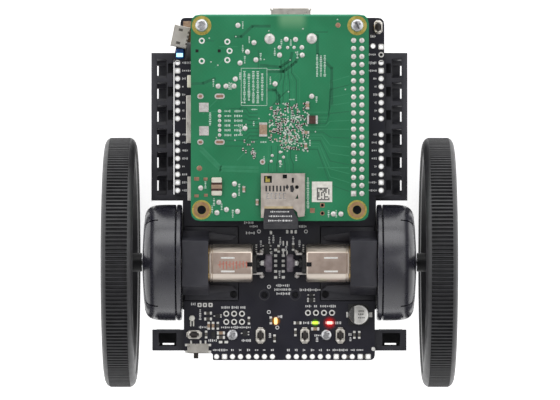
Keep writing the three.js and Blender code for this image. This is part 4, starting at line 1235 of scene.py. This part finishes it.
HEADER_X = (23.4, 26.0)
HEADER_TOP = 70.3
JOINTS_AT = ((-13.05, 75.05), (-8, 69.6), (-10.05, 66.7), (-7.4, 64.2), (-12.4, 63.2), (2.15, 70.65),
             (5.1, 70.6), (0.05, 65.7), (7.2, 65.7), (-1.35, 56.6), (-13.9, 58.15), (-19.3, 55.9),
             (-16.8, 55.9), (-14.3, 55.9), (10.2, 52.7), (-10.85, 42.6), (-24.8, 23.8), (-14.15, 25.1),
             (-14.2, 21.5), (-19.1, 19.3), (-19.7, 16), (-16.7, 17), (-13.2, 16.4), (17, 15.6),
             (19.4, 15.6))


def oval(shape, x, y, radius, long, z, colour=0):
    """A flat pad: two half circles, set apart by long on each side."""
    ring = circle(x, y, radius, 24)
    shape.prism([(px + (long if px > x else -long), py) for px, py in ring], z, colour)


def header_joints(joints, pins):
    """Two rows of joints and their pins."""
    for k in range(20):
        for x in HEADER_X:
            y = HEADER_TOP - PITCH * k
            if k == 19 and x == HEADER_X[0]:
                joints.pad(x, y, 0.85, 0.85, (TOP, TOP + 0.1), 0.05)
            dome(joints, x, y, 0.86, 0.45, TOP)
            pins.pad(x, y, 0.32, 0.32, (FACE + 8.3, COMPUTER[0].z + 0.1), 0.06)


def single_joints(joints):
    """Domes, ovals and flat pads elsewhere on the board."""
    for x, y in JOINTS_AT:
        dome(joints, x, y, 0.86, 0.5, TOP)
    for x, y, r in ((0.05, 68.1, 0.65), (2.6, 68.05, 0.55), (4.65, 68.1, 0.55), (7.1, 68.1, 0.75),
                    (0.25, 35.1, 0.5), (-2.25, 34, 0.5), (1.3, 33.5, 0.5), (-2.55, 32.2, 0.5),
                    (0.25, 32.1, 0.5)):
        dome(joints, x, y, r, 0.25, TOP)
    for x, y in ((-3.05, 70.8), (10.2, 70.9)):
        dome(joints, x, y, 1.72, 0.7, TOP)
    for x, y, long in ((-24.9, 52.7, 0.15), (-24.9, 38.25, 0.15), (-5.3, 32, 0), (-18.8, 52.7, 0.75),
                       (-18.8, 38.25, 0.75)):
        oval(joints, x, y, 0.85, long, (TOP, TOP + 0.2))
        oval(joints, x, y, 0.42, long, (TOP + 0.2, TOP + 0.23), 1)
    for x, y, w, t in ((-23.8, 49.2, 3, 2.9), (-23.75, 41.8, 3, 2.9)):
        joints.pad(x, y, w / 2, t / 2, (TOP, TOP + 0.15), 0.12)
    for y in (48, 46.5, 45, 43.5, 42, 40.45):
        dome(joints, -18.85, y, 0.55, 0.12, TOP)
    for x, y, w, t in ((-26.1, 26.65, 1.6, 1.1), (-23.25, 26.6, 1.3, 0.9), (-26.1, 21.3, 1.4, 0.9),
                       (-23.15, 21.5, 1.2, 0.9)):
        joints.pad(x, y, w / 2, t / 2, (TOP, TOP + 0.12), 0.1, 1)
    for x, y, r in ((18.5, 75.1, 0.8), (-25.2, 30, 0.85)):
        dome(joints, x, y, r, 0.06, TOP, 1)
    joints.block((9.65, 11.15), (15.95, 17.45), (TOP, TOP + 0.06), 0.03, 1)


def solder():
    """All joints, the header pins and the strip that holds them."""
    joints = Shape()            # 0 solder, 1 copper
    pins = Shape()
    header_joints(joints, pins)
    single_joints(joints)
    piece("computer_board_solder", joints, [SOLDER, COPPER])
    piece("header_pins", pins, GOLD)
    strip = Shape()
    for k in range(20):
        y = HEADER_TOP - PITCH * k
        strip.block((22.2, 27.2), (y - 1.25, y + 1.25), (FACE + 8.75, COMPUTER[0].z - 0.05), 0.25)
    piece("header_strip", strip, SOCKET)


def board_vias():
    """Open plated holes, large and tiny."""
    vias = Shape()
    for x, y in ((-24.45, 70.2), (-24.45, 63.8), (-16.4, 69.9), (-16.4, 64.1), (-15.7, 67)):
        ring_pad(vias, x, y, 0.95, 0.5, (TOP - 0.1, TOP + 0.05))
        rod(vias, x, y, 0.52, (TOP - 0.1, TOP - 0.02), colour=2)
    ring_pad(vias, 13.55, 18.35, 0.72, 0.45, (COMPUTER[0].z - 0.02, TOP + 0.04), square=True, colour=1)
    ring_pad(vias, 13.55, 15.8, 0.72, 0.45, (COMPUTER[0].z - 0.02, TOP + 0.04), colour=1)
    for k in range(170):
        x, y = random.gauss(3.4, 3.6), random.gauss(42.5, 4.6)
        if -3.4 < x < 9.5 and 35 < y < 51:
            ring_pad(vias, x, y, 0.24, 0.1, (TOP, TOP + 0.03))
    for k in range(26):
        x, y = random.uniform(-26.5, 21.5), random.uniform(30, 77)
        ring_pad(vias, x, y, 0.2, 0.09, (TOP, TOP + 0.025))
    piece("computer_board_vias", vias, [PADS, COPPER, CERAMIC])


def peg_shade_squares():
    """Dark squares of painted shade in the holes for a socket's pegs."""
    wells = Shape()
    for x, y in ((-25.96, 67), (-18.97, 67)):
        # near-black squares: painted shade standing in for the holes
        wells.pad(x, y, 0.6, 0.6, (TOP - 0.3, TOP + 0.02), 0.15)
    piece("peg_square_painted_shade", wells, SHADE_FILL)


ZC = TOP + 0.02


def small_parts():
    """Capacitors and chips on the near side."""
    small = Shape()                   # 0 tan, 1 soldered end, 2 brown, 3 cream, 4 chip
    chip(small, -5.1, 42.2, 4.4, 2.5, 0.8, ZC, upright=True, cap=0.16)
    chip(small, 8.9, 49.8, 2.5, 1.0, 0.6, ZC, upright=True)
    chip(small, 10.4, 45.3, 3.4, 2.6, 1.2, ZC, body=2, cap=0.2)
    for x, y, up in ((8.4, 41.3, False), (8.3, 37, True), (-11.2, 23.4, True), (-7, 19.3, True)):
        chip(small, x, y, 2.0, 0.9, 0.5, ZC, upright=up)
    small.block((-21.4, -18.1), (21.4, 27.1), (ZC, ZC + 1.2), 0.3, 3)
    small.block((-21.42, -18.08), (22.7, 25.7), (ZC, ZC + 1.21), 0.2, 2)
    small.block((-21.44, -18.06), (23.4, 25.0), (ZC, ZC + 1.22), 0.2)
    for k in range(95):
        x, y = random.uniform(-2.8, 9), random.uniform(35.5, 50.5)
        chip(small, x, y, 1.0, 0.5, 0.3, ZC, upright=random.random() < 0.5,
             body=random.choice((0, 2, 2, 4)), cap=0.3)
    for k in range(14):
        x, y = random.uniform(-12, -7.5), random.uniform(33, 39)
        chip(small, x, y, 1.0, 0.5, 0.3, ZC, upright=random.random() < 0.5, body=2, cap=0.36)
    piece("computer_board_parts", small, [TAN, SOLDER, CORE, CREAM, CHIP])


HIGH = (TOP + 0.005, TOP + 0.025)


def legend_marks():
    """A framed panel of ticks, and rows of ticks beside the parts."""
    legend = Shape()
    for x0, x1, y0, y1 in ((-12.1, -3.85, 61.45, 61.6), (-12.1, -3.85, 49.7, 49.85),
                           (-12.1, -11.95, 49.7, 61.6), (-4.0, -3.85, 49.7, 61.6), (-3.85, 0, 61.0, 61.12)):
        legend.block((x0, x1), (y0, y1), HIGH)
    for x in (-11, -9.6, -8.2, -6.8, -5.4):
        mark_row(legend, x, 55.6, random.choice((8.5, 10.2, 9.4)), 0.8, upright=True, z=HIGH)
    for x in (11.9, 13.1, 14.3):
        mark_row(legend, x, 62.2, 6.6, 0.75, upright=True, z=HIGH)
    mark_row(legend, 9.0, 22.3, 9.8, 0.8, upright=True, z=HIGH)
    mark_row(legend, -21.85, 45.5, 3.9, 1.0, upright=True, z=HIGH)
    for y in (48, 46.5, 45, 43.5, 42, 40.45):
        mark_row(legend, -16.3, y, 1.9, 0.75, z=HIGH)
        mark_row(legend, -12.9, y, 2.6, 0.75, z=HIGH)
    piece("computer_board_marks", legend, LEGEND)


def joint_marks():
    """A short mark beside each joint."""
    ghost = Shape()
    for x, y in JOINTS_AT:
        mark_row(ghost, x + random.choice((-1.5, 1.5)), y + random.choice((-0.9, 0, 0.9)), 2.1, 0.6,
                 upright=True, z=HIGH)
    for k in range(26):
        mark_row(ghost, random.uniform(-9, 10), random.uniform(31, 52), 1.6, 0.55, upright=k % 3 > 0, z=HIGH)
    piece("computer_board_small_marks", ghost, LEGEND)


def track(shape, points, wide, z, colour=0):
    """A flat track along a path of (x, y) points."""
    for (x0, y0), (x1, y1) in zip(points, points[1:]):
        d = Vector((x1 - x0, y1 - y0))
        if d.length < 1e-6:
            continue
        n = Vector((-d.y, d.x)).normalized() * wide / 2
        e = d.normalized() * wide * 0.3
        a, b = Vector((x0, y0)) - e, Vector((x1, y1)) + e
        shape.prism([tuple(a - n), tuple(b - n), tuple(b + n), tuple(a + n)], z, colour)


THIN = (TOP, TOP + 0.012)
WIDE = [[(4, 66.4), (3.5, 64.1), (0.4, 61.9), (-5.9, 62.5)], [(6, 65.5), (5.2, 63.5), (1.3, 60.5),
                                                              (-3.7, 60.5)],
        [(-3.7, 54.7), (-1.4, 54.7), (-0.1, 52.9), (-0.1, 50.6)], [(-27.5, 56.6), (-24, 56.8), (-20.3, 58.3)],
        [(-24.8, 36.7), (-18.5, 30.4), (-6.8, 30.2)], [(-24.8, 35.6), (-18.6, 29.4), (-6.8, 29.0)],
        [(-14, 71.5), (-12, 71.5), (-8.5, 74.8), (-3, 74.8)], [(12, 72), (12, 66), (16.5, 61.5), (16.5, 50)]]


def board_tracks():
    """Covered tracks: bundles between the chips and sockets, and strays."""
    tracks = Shape()
    for k in range(14):               # a fan from the chips to the header
        y = 36 + k * 0.9
        track(tracks, [(8.5, y), (12 + k * 0.3, y), (16, y + (k - 7) * 1.6), (22, y + (k - 7) * 1.9)], 0.28,
              THIN, k % 3 == 0)
    for k in range(9):                # a bundle up to the plug socket
        x = -2 + k * 1.05
        track(tracks,
              [(x, 50), (x, 55 + k * 0.4), (x + (4 - k) * 0.5, 58 + k * 0.3), (x + (4 - k) * 0.5, 64)], 0.3,
              THIN, k % 2)
    for k in range(8):                # a bundle down to the card socket
        x = -3.5 + k * 1.0
        bent = x - 1.2 + k * 0.3
        track(tracks, [(x, 37), (x, 33.5), (bent, 31.2), (bent, 29)], 0.3, THIN, k % 2)
    for k in range(8):                # a bundle to the camera pads
        y = 39 + k * 1.2
        bent = y + (k - 4) * 0.5
        track(tracks, [(-6.8, y), (-9.5, y), (-10.5, bent), (-17, bent)], 0.28, THIN, 1)
    for k, path in enumerate(WIDE):
        track(tracks, path, 0.9, THIN, 1 if k < 4 or k > 5 else 0)
    for k in range(16):
        x, y = random.uniform(-25, 18), random.uniform(16, 74)
        way = random.choice(((1, 0), (0, 1), (0.7, 0.7), (0.7, -0.7)))
        reach = random.uniform(3, 9)
        track(tracks, [(x, y), (x + way[0] * reach, y + way[1] * reach)], 0.32, THIN, k % 2)
    track(tracks, [(12, 30.2), (21.8, 30.2)], 0.4, THIN)
    piece("computer_board_tracks", tracks, [TRACK, TRACK_DARK])


def code_label():
    """A paper label with a generic pattern of squares."""
    label = Shape()
    label.block((10.25, 16.65), (19.35, 25.8), (TOP + 0.01, TOP + 0.09), 0.02)
    for i in range(9):
        for j in range(9):
            if random.random() < 0.5 or i == 0 or j == 0:
                x, y = 12 + i * 0.45, 20.1 + j * 0.45
                label.pad(x, y, 0.2, 0.2, (TOP + 0.09, TOP + 0.11), 0, 1)
    mark_row(label, 13.5, 25.0, 4.8, 0.6, z=(TOP + 0.09, TOP + 0.11))
    piece("code_label", label, [STICKER, INK])


computer_plate()
hole_lands()
solder()
board_vias()
peg_shade_squares()
small_parts()
legend_marks()
joint_marks()
board_tracks()
code_label()


# ---- card socket and card ----

S_LOW, S_HIGH = span("card_socket")
ROOF = (S_HIGH.z - 0.16, S_HIGH.z)
THROUGH = (ROOF[0] - 0.5, ROOF[1] + 1)


def card_cage():
    """The socket's folded sheet with its punched openings."""
    cage = Shape()
    z = (TOP + 0.12, S_HIGH.z)
    cage.prism([(S_LOW.x, 28.4), (S_LOW.x, 14.4), (S_LOW.x + 0.8, 14.4), (S_LOW.x + 1.1, 17.3), (4.4, 17.3),
                (5.6, 16.2), (5.9, 14.6), (7.9, 14.9), (S_HIGH.x, 17), (S_HIGH.x, 28.4)], ROOF)
    cage.block((S_LOW.x, S_LOW.x + 0.15), (16.6, 28.4), z)
    cage.block((S_HIGH.x - 0.15, S_HIGH.x), (16.6, 28.4), z)
    cage.block((S_LOW.x, S_HIGH.x), (28.25, 28.4), z)
    cage_piece = piece("card_cage", cage, CAGE, replaces=["card_socket"], smooth=25)
    slots = Shape()
    slots.block((-4.8, -2.35), (25.4, 27.6), THROUGH)
    for k in range(6):
        x = -4.13 + k * 1.125
        slots.block((x - 0.27, x + 0.27), (22.7, 24.5), THROUGH)
    slots.block((1.04, 2.4), (26.8, 28.0), THROUGH)
    slots.block((3.9, 4.6), (25.4, 27), THROUGH)
    slots.prism([(1.9, 24.05), (2.45, 23.1), (3.0, 24.05), (2.45, 25.0)], THROUGH)
    slots.prism([(3.35, 24.5), (3.5, 22.6), (4.3, 22.4), (4.7, 23.4), (4.3, 24.7)], THROUGH)
    slots.prism(circle(5.5, 24.05, 0.6, 12), THROUGH)
    slots.prism([(5.0, 20.4), (6.0, 20.4), (5.8, 21.8)], THROUGH)
    carve(cage_piece, slots)


def cage_details():
    """Painted shade and gold contacts under the openings, faint strokes and a warm lower edge."""
    shade = Shape()
    # a near-black sheet under the roof: painted shade inside the socket, seen through the openings
    shade.block((S_LOW.x + 0.3, S_HIGH.x - 0.3), (21.5, 28.2), (ROOF[0] - 0.5, ROOF[0] - 0.35), 0, 2)
    shade.block((-4.4, -3.0), (25.6, 26.7), (ROOF[0] - 0.3, ROOF[0] - 0.1), 0.05, 1)
    shade.block((-4.4, -3.9), (26.6, 27.4), (ROOF[0] - 0.3, ROOF[0] - 0.1), 0.05, 1)
    for k in range(5):
        x = -4.0 + k * 1.3
        shade.block((x, x + 0.8), (22.0, 22.2), (ROOF[1] - 0.01, ROOF[1] + 0.02))
        shade.block((x, x + 0.8), (20.4, 20.6), (ROOF[1] - 0.01, ROOF[1] + 0.02))
        shade.block((x, x + 0.2), (20.4, 22.2), (ROOF[1] - 0.01, ROOF[1] + 0.02))
    shade.block((S_LOW.x + 1.1, 4.3), (17.3, 18.0), (ROOF[1] - 0.01, ROOF[1] + 0.01), 0, 3)
    piece("card_cage_details", shade, [STEEL, GOLD, SHADE_FILL, WARM_TIN])


C_LOW, C_HIGH = span("memory_card")


def memory_card():
    """The card with its raised rear lip and generic print."""
    card = Shape()
    card.prism([(-4.75, C_HIGH.y), (-4.75, 17), (-5.0, 14.2), (-5.0, 11.2), (-4.7, 10.85), (5.6, 10.85),
                (5.9, 11.2), (5.9, 14.0), (4.6, 16.2), (4.6, 19.2), (4.2, 19.9), (4.6, 20.6),
                (4.6, C_HIGH.y)], (C_LOW.z, C_HIGH.z - 0.26))
    card.block((-4.9, 5.8), (10.85, 12.3), (C_HIGH.z - 0.3, C_HIGH.z), 0.2)
    card_piece = piece("memory_card_body", card, CARD, "card", ["memory_card"])
    soften(card_piece, 0.08)
    bars = Shape()
    for y, wide in ((16.3, 6.0), (14.9, 7.0), (13.5, 7.4)):
        mark_row(bars, 0.2, y, wide, 0.55, z=(C_HIGH.z - 0.27, C_HIGH.z - 0.25))
    piece("memory_card_marks", bars, MARKS, "card")


card_cage()
cage_details()
memory_card()


# ---- sockets under the computer board ----

def tube_shell(shape, x, y, z, wall, back, colour=0):
    """A folded metal shell, open towards +Y, closed at its back."""
    shape.block(x, y, (z[1] - wall, z[1]), 0.12, colour)
    shape.block(x, y, (z[0], z[0] + wall), 0.12, colour)
    shape.block((x[0], x[0] + wall), y, z, 0.12, colour)
    shape.block((x[1] - wall, x[1]), y, z, 0.12, colour)
    shape.block(x, (y[0], y[0] + back), z, 0.12, colour)


U_LOW, U_HIGH = span("usb_port")


def plug_socket():
    """The plug socket with flared lips, its tongue and contacts."""
    plug = Shape()
    xs, zs = (U_LOW.x + 0.3, U_HIGH.x - 0.3), (U_LOW.z + 0.3, U_HIGH.z)
    tube_shell(plug, xs, (U_LOW.y, U_HIGH.y - 0.5), zs, 0.35, 1)
    lip = U_HIGH.y
    plug.block((xs[0] + 0.5, xs[1] - 0.5), (lip - 0.7, lip), (U_LOW.z, U_LOW.z + 0.4), 0.15)
    plug.block((xs[0] + 0.5, xs[1] - 0.5), (lip - 0.7, lip), (zs[1] - 0.4, zs[1]), 0.15)
    plug.block((U_LOW.x, U_LOW.x + 0.5), (lip - 0.7, lip), (zs[0] + 0.5, zs[1] - 0.5), 0.15)
    plug.block((U_HIGH.x - 0.5, U_HIGH.x), (lip - 0.7, lip), (zs[0] + 0.5, zs[1] - 0.5), 0.15)
    piece("plug_socket_shell", plug, TIN, replaces=["usb_port"])
    inner = Shape()
    inner.block((xs[0] + 0.9, xs[1] - 0.9), (U_LOW.y + 1, lip - 2.4), (zs[0] + 0.9, zs[0] + 2.6), 0.15)
    for k in range(4):
        x = xs[0] + 2.4 + k * 2.2
        inner.block((x - 0.55, x + 0.55), (U_LOW.y + 2, lip - 2.6), (zs[0] + 2.55, zs[0] + 2.75), 0.05, 1)
    piece("plug_socket_tongue", inner, [CREAM, GOLD])


def side_shell(name, node, inset, tongue_z):
    """A metal socket open to the left edge of the board."""
    low, high = span(node)
    shell = cleaned(name, node, TIN)
    soften(shell, 0.15)
    inside = Shape()
    inside.block((low.x + inset, high.x - 1.7), (low.y + 1.2, high.y - 1.2), tongue_z, 0.15)
    piece(f"{name}_tongue", inside, SOCKET)


def left_sockets():
    """Video, power and sound sockets, and the header socket."""
    v_low, v_high = span("hdmi_port")
    middle = (v_low.z + v_high.z) / 2
    side_shell("video_socket", "hdmi_port", 1.2, (middle - 0.5, middle + 0.5))
    p_low, p_high = span("power_port")
    middle = (p_low.z + p_high.z) / 2
    side_shell("power_socket", "power_port", 1.0, (middle - 0.25, middle + 0.35))
    finish_node("audio_jack", SOCKET, 0.15)
    finish_node("header_socket", SOCKET, 0.2)


def under_parts():
    """What is soldered on the far side of the board."""
    camera_port = Shape()
    back = COMPUTER[0].z
    camera_port.block((-29.1, -26.5), (55.5, 59.4), (back - 2.6, back - 0.1), 0.2)
    camera_port.block((-27.0, -24.0), (32, 34), (back - 1.2, back - 0.1), 0.15)
    piece("camera_connector", camera_port, CREAM)
    under = Shape()
    under.block((-9, 5), (34, 48), (back - 1.6, back - 0.1), 0.2, 2)
    under.block((-8, 0), (52, 60), (back - 1.2, back - 0.1), 0.2, 2)
    for k in range(26):
        x, y = random.uniform(-22, 20), random.uniform(18, 64)
        chip(under, x, y, 1.6, 0.8, -0.5, back - 0.08, upright=k % 2 == 0)
    piece("computer_back_parts", under, [CERAMIC, SOLDER, CHIP])


plug_socket()
left_sockets()
under_parts()


# ---- floor, light, camera ----

def lay_floor():
    """A wide pale plane."""
    pale, _, floor_bsdf = new_material("pale_floor", Roughness=0.9)
    socket_set(floor_bsdf, {"Base Color": (0.92, 0.92, 0.92, 1), "Emission Color": (1, 1, 1, 1),
                            "Emission Strength": 0.75, "Specular IOR Level": 0.0})
    ground = bpy.data.meshes.new("floor")
    reach = 6.0
    ground.from_pydata([(-reach, -reach, 0), (reach, -reach, 0), (reach, reach, 0), (-reach, reach, 0)], [],
                       [(0, 1, 2, 3)])
    ground.materials.append(pale)
    floor = bpy.data.objects.new("floor", ground)
    bpy.context.scene.collection.objects.link(floor)


# (share of the way to straight above, brightness)
TENT = [(0.0, 0.95), (0.35, 0.9), (0.72, 0.5), (0.93, 0.24), (1.0, 0.2)]


def light_tent():
    """Bright round the sides and darker straight above the boards."""
    world = bpy.data.worlds.new("studio")
    bpy.context.scene.world = world
    world.use_nodes = True
    sky = world.node_tree
    direction = sky.nodes.new("ShaderNodeTexCoord")
    height = sky.nodes.new("ShaderNodeVectorMath")
    height.operation = "DOT_PRODUCT"
    height.inputs[1].default_value = OUT
    sky.links.new(direction.outputs["Generated"], height.inputs[0])
    tent = ramp(sky, height.outputs["Value"], [(at, (v, v, v)) for at, v in TENT])
    sky.links.new(tent, sky.nodes["Background"].inputs["Color"])
    sky.nodes["Background"].inputs["Strength"].default_value = 1.0


def softbox(name, place, size, power, aim=(0, 20, 10)):
    """A soft area light at an upright place in mm, turned to its aim."""
    data = bpy.data.lights.new(name, "AREA")
    data.shape = "RECTANGLE"
    data.size, data.size_y = size
    data.energy = power
    light = bpy.data.objects.new(name, data)
    bpy.context.scene.collection.objects.link(light)
    light.location = UPRIGHT @ Vector(place)
    light.rotation_euler = (UPRIGHT @ Vector(aim) - light.location).to_track_quat("-Z", "Y").to_euler()


CAMERA_AT = (0.2, 20, FACE + 1300)
CAMERA_LENS = 262.6
FILM_WIDTH = 36


def place_camera():
    """A long lens straight above the boards."""
    lens = bpy.data.cameras.new("front_camera")
    lens.sensor_width = FILM_WIDTH
    lens.lens = CAMERA_LENS
    lens.clip_end = 20
    camera = bpy.data.objects.new("front_camera", lens)
    bpy.context.scene.collection.objects.link(camera)
    camera.matrix_world = Matrix.Translation(UPRIGHT @ Vector(CAMERA_AT)) @ AXES
    bpy.context.scene.camera = camera
    bpy.context.scene.view_settings.view_transform = "Standard"


lay_floor()
light_tent()
softbox("left_box", (-420, 120, 520), (0.5, 0.8), 1.0)
softbox("right_box", (420, 120, 520), (0.5, 0.8), 1.0)
softbox("top_box", (0, 520, 420), (0.9, 0.35), 1.2)
place_camera()
